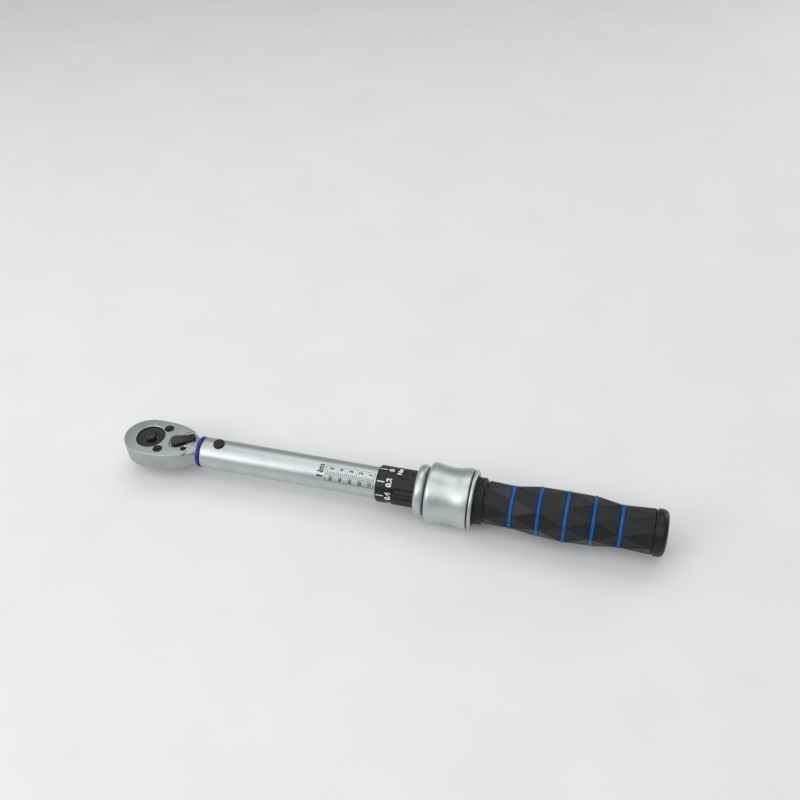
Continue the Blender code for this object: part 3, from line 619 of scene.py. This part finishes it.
def build_spindle():
    """Hub, ratchet gear and drive square in one piece, and the ball in the square's side."""
    disc = lathe("spindle", [
        (-7.2, 0), (-7.2, 5.9, 0.3), (-6.9, 6.1, 0.1), (-3.2, 6.1), (-3.2, 7.4),
        (HUB_TOP - 0.3, 7.4, 0.05), (HUB_TOP, 7.15, 0.1), (HUB_TOP, 6.35, 0.05),
        (HUB_TOP - 0.15, 6.2, 0.05), (HUB_TOP - 0.15, 4.5, 0.05), (HUB_TOP, 4.3, 0.05),
        (HUB_TOP, 3.75, 0.1), (HUB_TOP - 0.25, SPINDLE_BORE), (-2.5, SPINDLE_BORE), (-2.5, 0)],
        "hub", "Z")
    combine(disc, skin("teeth", [gear_loop(-3.7), gear_loop(2.9)], "hub"), "UNION")
    tip = -AXIS.z / MM
    square = [square_loop(2.55, 0.3, tip), square_loop(2.95, 0.55, tip + 0.4),
              square_loop(SQUARE_HALF, 0.7, tip + 0.9), square_loop(SQUARE_HALF, 0.5, -8.0),
              square_loop(SQUARE_HALF, 0.5, -5.0)]
    combine(disc, skin("square", square, "hub"), "UNION")
    combine(disc, cutter([(-2.0, 0), (-2.0, SPINDLE_BORE), (3.0, SPINDLE_BORE), (3.0, 0)]))
    combine(disc, cutter([(-14.0, 0), (-14.0, 1.3), (-1.0, 1.3), (-1.0, 0)], sides=32))
    hole = cutter([(0.0, 0), (0.0, BALL_BORE), (3.0, BALL_BORE), (3.5, 1.7), (3.5, 0)], "X", sides=48)
    down = Matrix.Translation((0, 0, BALL_HEIGHT * MM))
    hole.data.transform(down)
    combine(disc, hole)
    show(disc, "spindle", "hub", "drive_spindle")

    round_face = [(BALL_X - BALL_RADIUS * math.cos(math.pi * k / 16),
                   BALL_RADIUS * math.sin(math.pi * k / 16)) for k in range(1, 16)]
    ball = lathe("detent", [(BALL_X - BALL_RADIUS, 0)] + round_face + [(BALL_X + BALL_RADIUS, 0)],
                 "bright", "X", sides=48)
    ball.data.transform(down)
    show(ball, "detent", "bright", "detent_ball")


def build_button():
    """Quick-release button: a nearly flat cap with a fine rim, on its long rod."""
    button = lathe("quick_release", [
        (-12.0, 0), (-12.0, 0.9, 0.2), (-11.0, 0.9), (-10.6, 0.55), (-8.4, 0.55), (-8.0, 0.9),
        (2.2, 0.9), (2.2, 3.2, 0.15), (5.85, 3.2, 0.4), (6.22, 2.75, 0.12), (6.22, 2.35, 0.1),
        (6.34, 2.15, 0.1), (6.4, 0.0)], "hub", "Z", sides=96)
    show(button, "button", "hub", "release_button")


# ---------- reversing lever

LEVER_LEAN = math.radians(30)  # the lever rests on this side of the wrench's middle
LEVER_TOP = 6.9
LEVER_RIBS = 4


def lever_top(u):
    """The lever's top: level over the shaft, dipping, then tipped up at the tab."""
    if u < 1.5:
        return LEVER_TOP
    t = min((u - 1.5) / 6.0, 1.0)
    return LEVER_TOP - 0.45 * math.sin(math.pi * t) + 0.25 * t


def lever_bottom(u):
    """Its underside: down in the pocket at the round end, clear of the plate at the tab."""
    t = min(max((u - 0.2) / 1.4, 0.0), 1.0)
    return POCKET_FLOOR + 0.12 + (0.85 * t * t * (3 - 2 * t))


def lever_point(along, across, height):
    """A point given by its place along and across the lever."""
    c, s = math.cos(LEVER_LEAN), math.sin(LEVER_LEAN)
    return place(LEVER_X + (along * c - across * s), along * s + across * c, height)


def turn_and_move(piece, angle, target):
    """Turn a piece made on the tube's axis about the vertical and move its origin to target."""
    piece.data.transform(Matrix.Translation(-AXIS))
    piece.data.transform(Matrix.Rotation(angle, 4, "Z"))
    piece.data.transform(Matrix.Translation(target))


def build_lever():
    """Black lever: round end over the shaft, waisted arm, ribbed thumb tab that tips upwards."""
    # places along the lever, each with its half width
    stations = [(-4.75, 0.0), (-4.6, 1.35), (-4.0, 2.3), (-2.9, 2.85), (-1.5, 3.0),
                (0.0, 2.85), (1.4, 2.6), (2.8, 2.38), (4.2, 2.2), (5.6, 2.06), (6.9, 1.9),
                (7.8, 1.5), (8.25, 0.85), (8.4, 0.0)]
    outline = stations + [(u, -w) for u, w in reversed(stations[1:-1])]
    count = len(outline)
    dense = []
    for i in range(count):
        dense += between(*(outline[(i + k) % count] for k in (-1, 0, 1, 2)), 4)
    dense.reverse()
    shape = bmesh.new()
    loops = []
    # shares of the lever's height, each with the inset that rounds its edges
    for share, amount in ((0.0, 0.25), (0.08, 0.06), (0.2, 0.0), (0.62, 0.0), (0.80, 0.06),
                          (0.92, 0.20), (1.0, 0.48)):
        loop = []
        for p, q in zip(dense, inset(dense, amount)):
            low, high = lever_bottom(p[0]), lever_top(p[0])
            loop.append(shape.verts.new(lever_point(q[0], q[1], low + (high - low) * share)))
        loops.append(loop)
    for a, b in zip(loops, loops[1:]):
        bridge(shape, a, b)
    # both faces are filled by strips across the lever, so that they can follow its dips
    size = len(dense)
    for loop in (loops[0], loops[-1]):
        for k in range(size // 2):
            corners = []
            for v in (loop[k], loop[(k + 1) % size], loop[(size - k - 1) % size],
                      loop[(size - k) % size]):
                if v not in corners:
                    corners.append(v)
            if len(corners) > 2:
                shape.faces.new(corners)
    lever = finish_mesh("reverser", shape, "black", 38)
    shaft = lathe("shaft", [(-3.6, 0), (-3.6, 2.3, 0.3), (5.9, 2.3), (5.9, 0)], "black", "Z",
                  (LEVER_X, 0), 64)
    combine(lever, shaft, "UNION")
    for k in range(LEVER_RIBS):
        u = 4.3 + 0.95 * k
        rib = lathe("rib", [(-1.25, 0), (-1.25, 0.26, 0.1), (1.25, 0.26, 0.1), (1.25, 0)], "black",
                    "X", sides=20)
        turn_and_move(rib, LEVER_LEAN + math.pi / 2, lever_point(u, 0.0, lever_top(u) - 0.02))
        combine(lever, rib, "UNION")
    # the bore of the lever's sprung plunger
    bore = cutter([(0.0, 0), (0.0, 0.8), (4.0, 0.8), (4.0, 0)], "X", sides=24)
    turn_and_move(bore, LEVER_LEAN + math.pi, place(LEVER_X + 1.0, 0.58, 0))
    combine(lever, bore)
    show(lever, "lever", "black", "reversing_lever")


# ---------- tube

TUBE_RADIUS = 8.0
TUBE_STEP = (126.0, 7.0)  # from here on, under the sleeve, the tube has this radius
TUBE_BORE = 6.3
PIN_RADIUS = 2.85
NUT_PIN = (193.0, 1.2)  # place and radius of the hole for the adjusting nut's pin


def build_tube():
    """Satin tube with a thinner rear end, the blue ring in front of it, the pivot pin across it."""
    start, end = span("tube")
    step, thin = TUBE_STEP
    tube = lathe("tube_skin", [
        (start, 7.3, 0.2), (start + 0.25, 7.75, 0.25), (start + 0.9, TUBE_RADIUS, 0.5),
        (step, TUBE_RADIUS, 0.2), (step, thin), (end, thin, 0.2), (end, TUBE_BORE, 0.2),
        (start, TUBE_BORE, 0.2)], "tube")
    combine(tube, cutter([(-10, 0), (-10, PIN_BORE), (10, PIN_BORE), (10, 0)], "Z", (PIN_X, 0), 64))
    x, hole = NUT_PIN
    combine(tube, cutter([(4.2, 0), (4.2, hole), (8, hole), (8, 0)], "Z", (x, 0), 24))
    show(tube, "housing", "tube", "tube")
    low, high = span("front_ring")
    ring = lathe("blue_front_ring", [
        (low, 7.75, 0.15), (low + 0.25, TUBE_RADIUS, 0.2), (high, TUBE_RADIUS, 0.25),
        (high, 6.0, 0.1), (low, 6.0, 0.1)], "dark_blue")
    show(ring, "housing", "dark_blue", "front_ring")
    low, top = span("pivot_pin", 2)
    pin = lathe("pivot_plug", [
        (low, 0), (low, 2.3, 0.1), (low + 0.35, PIN_RADIUS, 0.25), (top - 0.35, PIN_RADIUS, 0.3),
        (top, 2.45, 0.2), (top, 1.6, 0.1), (top - 0.12, 1.45, 0.1), (top - 0.12, 0)], "black", "Z",
        (PIN_X, 0), 96)
    show(pin, "housing", "black", "pivot_pin")


INLAY = 0.03  # a mark reaches this far above and below the surface


def patch(name, x0, x1, angle0, angle1, radius, look):
    """A thin inlay on the tube or the sleeve, curved about the tube's axis."""
    steps_x = 2
    steps_a = max(2, int(abs(angle1 - angle0) / 3))
    shape = bmesh.new()
    low, high = ([[shape.verts.new(around(x0 + (x1 - x0) * i / steps_x, radius + lift,
                                          angle0 + (angle1 - angle0) * k / steps_a))
                   for k in range(steps_a + 1)] for i in range(steps_x + 1)]
                 for lift in (-INLAY, INLAY))
    for i in range(steps_x):
        for k in range(steps_a):
            shape.faces.new((low[i][k], low[i][k + 1], low[i + 1][k + 1], low[i + 1][k]))
            shape.faces.new((high[i][k], high[i + 1][k], high[i + 1][k + 1], high[i][k + 1]))
    border = [(i, 0) for i in range(steps_x + 1)]
    border += [(steps_x, k) for k in range(1, steps_a + 1)]
    border += [(i, steps_a) for i in range(steps_x - 1, -1, -1)]
    border += [(0, k) for k in range(steps_a - 1, 0, -1)]
    for (i, k), (m, n) in zip(border, border[1:] + border[:1]):
        shape.faces.new((low[i][k], low[m][n], high[m][n], high[i][k]))
    return finish_mesh(name, shape, look)


def numeral(name, text, x, angle, size, radius, look):
    """Figures wrapped round the tube: they read over the top, with their heads to the front."""
    data = bpy.data.curves.new(name, "FONT")
    data.body = text
    data.size = size
    data.align_x = "CENTER"
    data.align_y = "CENTER"
    data.extrude = INLAY
    data.offset = size * 0.04
    data.resolution_u = 6
    words = add_object(name, data)
    bpy.context.view_layer.update()
    mesh = bpy.data.meshes.new_from_object(
        words.evaluated_get(bpy.context.evaluated_depsgraph_get()))
    bpy.data.objects.remove(words, do_unlink=True)
    shape = bmesh.new()
    shape.from_mesh(mesh)
    bmesh.ops.remove_doubles(shape, verts=shape.verts, dist=0.0005)
    for vert in shape.verts:
        across, up, lift = vert.co
        turn = angle - math.degrees(across / radius)
        vert.co = around(x - up, radius + lift, turn)
    bpy.data.meshes.remove(mesh)
    return finish_mesh(name, shape, look)


def join_pieces(name, pieces):
    """One object from several small separate ones."""
    shape = bmesh.new()
    for piece in pieces:
        shape.from_mesh(piece.data)
    look = pieces[0].data.materials[0]
    for piece in pieces:
        bpy.data.objects.remove(piece, do_unlink=True)
    mesh = to_mesh(name, shape)
    mesh.materials.append(look)
    return add_object(name, mesh)


SCALE_FRONT, SCALE_BACK = 97.4, 122.4
SCALE_LINES = (98.0, 127.0, 131.0, 155.0)  # angles round the tube
SCALE_TICKS = 24
SCALE_FIGURES = 5


def build_scale():
    """Etched scale on the tube: two rows of ticks and figures between lines, and the unit."""
    radius, look = TUBE_RADIUS, "etched"
    marks = [patch("line", SCALE_FRONT, SCALE_BACK, angle, angle + 1.2, radius, look)
             for angle in SCALE_LINES]
    for end in (SCALE_FRONT, SCALE_BACK):
        marks.append(patch("line", end - 0.1, end + 0.1, SCALE_LINES[0], SCALE_LINES[-1] + 0.5,
                           radius, look))
    for k in range(SCALE_TICKS):
        x = SCALE_FRONT + 1.0 + k
        reach = 11.0 if k % 5 == 0 else 7.0  # the upper row's longer ticks
        marks.append(patch("tick", x - 0.16, x + 0.16, 127.4 - reach, 127.4, radius, look))
        marks.append(patch("tick", x - 0.15, x + 0.15, 131.4, 136.5, radius, look))
    for k in range(SCALE_FIGURES):
        x = SCALE_BACK - 1.9 - 5.0 * k
        marks.append(numeral("figure", str(k + 1), x, 108.5, 2.7, radius, look))
        marks.append(numeral("figure", str(10 * (k + 1)), x, 145.5, 2.3, radius, look))
    marks.append(numeral("unit", "Nm", 94.9, 121.0, 4.4, radius, look))
    show(join_pieces("tube_scale", marks), "housing", look)


# ---------- handle

SLEEVE_RADIUS = 9.3
SLEEVE_BORE = 8.25
FLUTES = 16
FLUTE_DEPTH = 0.42
ZERO_ANGLE = 79.5  # where the 0 stands round the sleeve
FLUTE_START = 132.6
UNIT_LENGTH = 4.0  # plain stretch that the unit stands on
UNIT_REACH = 19.0  # degrees to each side of the unit
SLEEVE_MARKS = 8
MARK_ENDS = (124.35, 128.1)
FIGURE_X = 130.4
UNIT_X = 134.6


def sleeve_radius(x, radius, angle):
    """Shallow flutes run from behind the figures and the units to under the collar."""
    turn = (math.degrees(angle) - ZERO_ANGLE + 90.0) % 180.0 - 90.0
    start = FLUTE_START + (UNIT_LENGTH if abs(turn) < UNIT_REACH else 0.0)
    if radius < 9.0 or x < start:
        return radius
    depth = min((x - start) / 1.5, 1.0)
    wave = 0.5 + 0.5 * math.cos(angle * FLUTES)
    return radius - FLUTE_DEPTH * depth * (1 - wave) ** 1.5


def build_sleeve():
    """Black micrometer sleeve: plain where its marks stand, fluted behind them."""
    start, end = span("micrometer_sleeve")
    stations = [(start, 8.55, 0.15), (start + 0.9, 9.25, 0.3), (125.0, SLEEVE_RADIUS)]
    stations += [(FLUTE_START + 0.25 * k, SLEEVE_RADIUS) for k in range(25)]
    stations += [(143.0, SLEEVE_RADIUS), (150.0, SLEEVE_RADIUS - 0.1), (end, SLEEVE_RADIUS - 0.1),
                 (end, SLEEVE_BORE), (start, SLEEVE_BORE)]
    sleeve = lathe("sleeve", stations, "sleeve", sides=FLUTES * 16, shape_radius=sleeve_radius)
    show(sleeve, "handle", "sleeve", "micrometer_sleeve")
    radius, look = SLEEVE_RADIUS, "white_ink"
    marks = []
    for k in range(SLEEVE_MARKS):
        angle = ZERO_ANGLE + 360 / SLEEVE_MARKS * k
        text = "0" if k == 0 else f"{0.2 * k:.1f}"
        marks.append(patch("mark", *MARK_ENDS, angle - 1.5, angle + 1.5, radius, look))
        marks.append(numeral("figure", text, FIGURE_X, angle, 3.7, radius, look))
        if k % 4 == 0:
            marks.append(numeral("unit", "Nm", UNIT_X, angle - 2, 3.2, radius, look))
    show(join_pieces("sleeve_marks", marks), "handle", look)


COLLAR_SIDES = 192
# a black band down in each groove, painted shade that darkens the groove as its shadow would: name, ends and
# radius
COLLAR_GROOVE_SHADES = (("groove_shade_front", 147.95, 149.1, 12.15), ("groove_shade_rear", 170.15, 170.85, 14.15))


def build_collar():
    """Lock collar: front rim, groove, barrel with a waist, rear groove and rim, with painted shade as a black band
    in each groove.
    """
    bead = spline([(143.3, 11.5), (143.7, 12.45), (144.7, 13.05), (146.0, 13.2), (147.1, 12.95),
                   (147.9, 12.2)], 5)
    barrel = spline([(149.0, 12.9), (149.25, 14.1), (149.9, 14.85), (151.2, 15.1), (152.6, 15.0),
                     (154.8, 14.65), (157.5, 14.15), (160.5, 14.02), (163.5, 14.3), (165.9, 14.8),
                     (167.6, 15.06), (169.2, 15.08), (170.0, 14.9)], 5)
    outside = bead + [(148.05, 11.9, 0.1), (148.95, 11.9, 0.1)] + barrel
    outside += [(170.15, 14.5, 0.1), (170.25, 13.9, 0.1), (170.75, 13.9, 0.1),
                (170.9, 14.7, 0.2), (171.6, 14.85, 0.4), (172.3, 14.6, 0.4), (172.5, 14.0, 0.2)]
    inside = [(172.5, 12.2, 0.1), (151.2, 12.2), (151.2, 9.5), (150.1, 9.5), (150.1, 10.3),
              (144.5, 10.3), (144.5, 9.5), (143.3, 9.5, 0.1)]
    collar = lathe("locking_collar", outside + inside, "collar", sides=COLLAR_SIDES)
    show(collar, "collar", "collar", "lock_collar")
    # each band is painted shade: a black ring in the groove that darkens it as its shadow would
    for name, low, high, radius in COLLAR_GROOVE_SHADES:
        shade_band = lathe(f"collar_{name}", [(low, radius - 0.8), (low, radius, 0.05),
                                        (high, radius, 0.05), (high, radius - 0.8)], "black",
                     sides=COLLAR_SIDES)
        show(shade_band, "collar", "black")


NECK_RADIUS = 11.25
RIB_RADIUS = 11.6
KNURL_FROM = 11.45  # the knurl covers what lies farther out than this
NECK_BORE = 9.4
KNURLS = 60


def neck_radius(_, radius, angle):
    """Fine knurl on the ribs of the ring behind the collar."""
    if radius < KNURL_FROM:
        return radius
    return radius - 0.09 * (1 + math.cos(angle * KNURLS))


def build_neck_ring():
    """Black ring behind the collar, with three knurled ribs."""
    profile = [(168.0, 11.0, 0.1), (168.3, NECK_RADIUS, 0.1), (173.1, NECK_RADIUS, 0.1)]
    for k in range(3):
        x = 173.3 + 1.25 * k
        profile += [(x, NECK_RADIUS, 0.08), (x + 0.12, RIB_RADIUS, 0.08),
                    (x + 0.85, RIB_RADIUS, 0.08), (x + 0.97, NECK_RADIUS, 0.08)]
    profile += [(177.2, 11.0, 0.2), (177.2, 10.0), (178.15, 10.0),
                (178.15, NECK_BORE), (168.0, NECK_BORE, 0.1)]
    ring = lathe("ribbed_ring", profile, "neck", sides=KNURLS * 8, shape_radius=neck_radius)
    show(ring, "handle", "neck", "neck_ring")


# each ring's place, and the radius to the grip's corners there and at its ends
RINGS = [(190.7, 10.9), (203.7, 11.9), (216.6, 12.9), (229.4, 11.9), (242.3, 10.8)]
GRIP_ENDS = (10.6, 11.0)
GRIP_BORE = 8.3
GRIP_SIDES = 8
GROOVE_HALF = 0.86  # half the width of a ring's groove
GROOVE_DEPTH = 0.8
EASED_EDGE = 0.28
EASE_FROM = 4  # edges that turn by more degrees than this are eased
FACET_ANGLE = 3  # and this leaves every facet flat
RING_HALF = 0.82
RING_CROWN = 0.32  # how far a ring stands proud, and how round its face is
RING_INSIDE = 0.75
SIDE_STEPS = 12  # points along each side of a ring
CORNER_SHARE = 0.9975  # eases the corners of a ring


def side_angle(k, phase):
    """The angle of a corner of the grip; phase 1 turns the octagon by half a side."""
    return 360 / GRIP_SIDES * (k + phase / 2)


def octagon(shape, x, radius, phase):
    return [shape.verts.new(around(x, radius, side_angle(k, phase))) for k in range(GRIP_SIDES)]


def build_grip():
    """Faceted grip: between rings, a strip of sixteen flat triangles with eased edges."""
    start, end = span("grip")
    rings = [(x, corner, (i + 1) % 2) for i, (x, corner) in enumerate(RINGS)]
    stations = [(start, GRIP_ENDS[0], 0)] + rings + [(end, GRIP_ENDS[1], 0)]
    edges = []
    for (xa, ra, pa), (xb, rb, pb) in zip(stations, stations[1:]):
        edges.append((xa if xa == start else xa + GROOVE_HALF, ra, pa))
        edges.append((xb if xb == end else xb - GROOVE_HALF, rb, pb))
    shape = bmesh.new()
    loops = [octagon(shape, *edge) for edge in edges]
    for i in range(0, len(edges), 2):
        a, b = loops[i], loops[i + 1]
        for k in range(GRIP_SIDES):
            n = (k + 1) % GRIP_SIDES
            if edges[i + 1][2]:
                shape.faces.new((a[k], a[n], b[k]))
                shape.faces.new((a[n], b[n], b[k]))
            else:
                shape.faces.new((a[k], b[n], b[k]))
                shape.faces.new((a[k], a[n], b[n]))
    # grooves that hold the blue rings
    for i in range(1, len(edges) - 1, 2):
        x0, corner, phase = edges[i]
        lower = octagon(shape, x0, corner - GROOVE_DEPTH, phase)
        upper = octagon(shape, edges[i + 1][0], corner - GROOVE_DEPTH, phase)
        for first, second in ((loops[i], lower), (lower, upper), (upper, loops[i + 1])):
            bridge(shape, first, second)
    front, rear = octagon(shape, start, GRIP_BORE, 0), octagon(shape, end, GRIP_BORE, 0)
    for first, second in ((loops[0], front), (loops[-1], rear), (front, rear)):
        bridge(shape, first, second)
    grip = finish_mesh("facet_grip", shape, "grip", FACET_ANGLE)
    ease = grip.modifiers.new("eased edges", "BEVEL")
    ease.width = EASED_EDGE * MM
    ease.segments = 3
    ease.limit_method = "ANGLE"
    ease.angle_limit = math.radians(EASE_FROM)
    ease.harden_normals = True
    show(grip, "handle", "grip", "grip")
    for i, (x, corner, phase) in enumerate(rings):
        build_grip_ring(i, x, corner + RING_CROWN, phase)


def build_grip_ring(i, x, corner, phase):
    """A slim blue band that follows the grip's corners, with a rounded face."""
    shape = bmesh.new()

    def loop(position, radius):
        points = []
        limit = radius * CORNER_SHARE
        for k in range(GRIP_SIDES):
            angles = [math.radians(side_angle(m, phase)) for m in (k, k + 1)]
            here, after = (Vector((radius * math.cos(a), radius * math.sin(a))) for a in angles)
            for step in range(SIDE_STEPS):
                p = here.lerp(after, step / SIDE_STEPS)
                if p.length > limit:
                    p = p.normalized() * limit
                points.append(shape.verts.new(place(position, p.x, p.y)))
        return points

    rings = []
    for k in range(9):
        a = math.pi * k / 8
        rings.append(loop(x - RING_HALF * math.cos(a), corner - RING_CROWN * (1 - math.sin(a))))
    for side in (1, -1):
        rings.append(loop(x + side * RING_HALF, corner - RING_INSIDE))
    for a, b in zip(rings, rings[1:] + rings[:1]):
        bridge(shape, a, b)
    ring = finish_mesh(f"blue_ring_{i + 1}", shape, "blue", 40)
    show(ring, "handle", "blue", f"grip_ring_{i + 1}")


def build_end_cap():
    """Black end cap with a thin gap before its rounded rim."""
    low, high = span("end_cap")
    lip = span("grip")[1] + 0.15
    cap = lathe("grip_cap", [
        (low, 8.0, 0.1), (lip, 8.0), (lip, 10.75, 0.12), (lip + 1.0, 10.75, 0.1),
        (lip + 1.1, 11.35, 0.2), (261.0, 11.5, 1.2), (262.9, 10.6, 0.9), (high, 8.9, 0.6),
        (high, 6.4, 0.15), (high - 0.2, 6.2, 0.1), (high - 0.2, 0), (257.0, 0), (257.0, 6.5),
        (low, 6.5)], "neck")
    show(cap, "handle", "neck", "end_cap")


# ---------- springs

WAYS = {"X": (1, 0, 0), "Z": (0, 0, 1)}


def coil(name, low, high, turns, radius, wire, along):
    """A compression spring with closed, nearly touching end turns; wire is its wire's radius."""
    steps, sides = 28, 10  # of each turn and round the wire
    closed = 2.1 * wire  # advance of each end turn
    pitch = (high - low - 2 * wire - 2 * closed) / (turns - 2)
    loops = []
    for i in range(turns * steps + 1):
        turn = i / steps
        rise = closed * min(turn, 1.0) + pitch * min(max(turn - 1.0, 0.0), turns - 2.0)
        rise += closed * max(turn - (turns - 1.0), 0.0)
        a = 2 * math.pi * turn
        out = Vector((0, math.cos(a), math.sin(a))) if along == "X" else \
            Vector((math.cos(a), math.sin(a), 0))
        way = Vector(WAYS[along])
        middle = way * (low + wire + rise) + out * radius
        loops.append([place(*(middle + (out * math.cos(t) + way * math.sin(t)) * wire))
                      for t in (2 * math.pi * k / sides for k in range(sides))])
    return skin(name, loops, "spring", 50)


def build_springs():
    """A fine coil for each spring, between the ends of its CAD node, moving with its body."""
    for node, body, joint, turns, radius, wire, along, fixed in (
            ("main_spring", "housing", "handle_advance", 13, 4.8, 1.0, "X", 0),
            ("collar_spring", "handle", "collar_unlock", 4, 10.7, 0.5, "X", 1),
            ("button_spring", "spindle", "button_press", 5, 2.3, 0.25, "Z", 0)):
        way = WAYS[along]
        ends = span(node, way.index(1))
        spring = coil(f"fine_{node}", *ends, turns, radius, wire, along)
        show(spring, body, "spring", node)
        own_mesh(spring)


# ---------- studio

FLOOR_HALF = 4.0  # metres
FLOOR_GAP = 0.0001
WORLD_STRENGTH = 0.32


def build_studio():
    """Pale paper floor just under the wrench, and an even pale surround."""
    shape = bmesh.new()
    height = CAD_BOX[0][2] - FLOOR_GAP
    shape.faces.new([shape.verts.new((x * FLOOR_HALF, y * FLOOR_HALF, height))
                     for x, y in ((-1, -1), (1, -1), (1, 1), (-1, 1))])
    floor = add_object("floor", to_mesh("floor", shape))
    paper = Look("floor_paper")
    paper.tone(paper.noise(0.02), (0.80, 0.80, 0.80), (0.83, 0.83, 0.83))
    paper.inputs["Roughness"].default_value = 0.7
    floor.data.materials.append(paper.material)

    world = bpy.data.worlds.new("studio")
    bpy.context.scene.world = world
    world.use_nodes = True
    background = world.node_tree.nodes["Background"]
    background.inputs["Color"].default_value = (0.93, 0.95, 0.97, 1)
    background.inputs["Strength"].default_value = WORLD_STRENGTH


LIGHTS_AIM = Vector((0.12, 0.0, 0.01))


def area_light(name, position, size, power):
    """A soft rectangular light; places and sizes in metres, power in watts."""
    data = bpy.data.lights.new(name, "AREA")
    data.shape = "RECTANGLE"
    data.size, data.size_y = size
    data.energy = power
    made = add_object(name, data)
    made.location = position
    made.rotation_euler = (LIGHTS_AIM - Vector(position)).to_track_quat("-Z", "Y").to_euler()


def build_lights():
    area_light("key", (0.05, -0.48, 0.95), (1.8, 1.0), 6.6)
    area_light("top", (0.05, 0.45, 0.90), (1.0, 0.6), 2.6)
    area_light("front", (-0.55, -0.80, 0.65), (0.6, 0.4), 2.8)
    area_light("side", (-0.75, -0.10, 0.45), (0.5, 0.4), 0.9)
    area_light("rim", (0.75, 0.75, 0.30), (0.5, 0.3), 1.2)


CAMERA_PLACE = (223.3, -299.3, 351.6)  # millimetres, height from the tube's axis
CAMERA_AZIMUTH = 16.24
CAMERA_ELEVATION = 43.15
CAMERA_ROLL = -2.28
CAMERA_LENS = 42.456
CAMERA_SENSOR = 36.0


def build_camera():
    data = bpy.data.cameras.new("camera")
    data.lens = CAMERA_LENS
    data.sensor_width = CAMERA_SENSOR
    made = add_object("camera", data)
    a, e = math.radians(CAMERA_AZIMUTH), math.radians(CAMERA_ELEVATION)
    forward = Vector((-math.sin(a) * math.cos(e), math.cos(a) * math.cos(e), -math.sin(e)))
    turn = forward.to_track_quat("-Z", "Y").to_matrix().to_4x4()
    roll = Matrix.Rotation(math.radians(CAMERA_ROLL), 4, "Z")
    made.matrix_world = Matrix.Translation(place(*CAMERA_PLACE)) @ turn @ roll
    bpy.context.scene.camera = made


# ---------- everything

def dress_cad_nodes():
    """Each CAD node that still shows gets the look of its material slot."""
    slots = {part["node"]: part["material_slot"] for part in frame["record"]["subparts"]}
    for name, node in frame["nodes"].items():
        node.data.materials.clear()
        node.data.materials.append(MATERIALS[CAD_LOOKS[slots[name]]])


bpy.context.scene.view_settings.view_transform = "Standard"
build_camera()
dress_cad_nodes()
build_casting()
build_plate()
build_screws()
build_spindle()
build_button()
build_lever()
build_tube()
build_scale()
build_sleeve()
build_collar()
build_neck_ring()
build_grip()
build_end_cap()
build_springs()
build_studio()
build_lights()
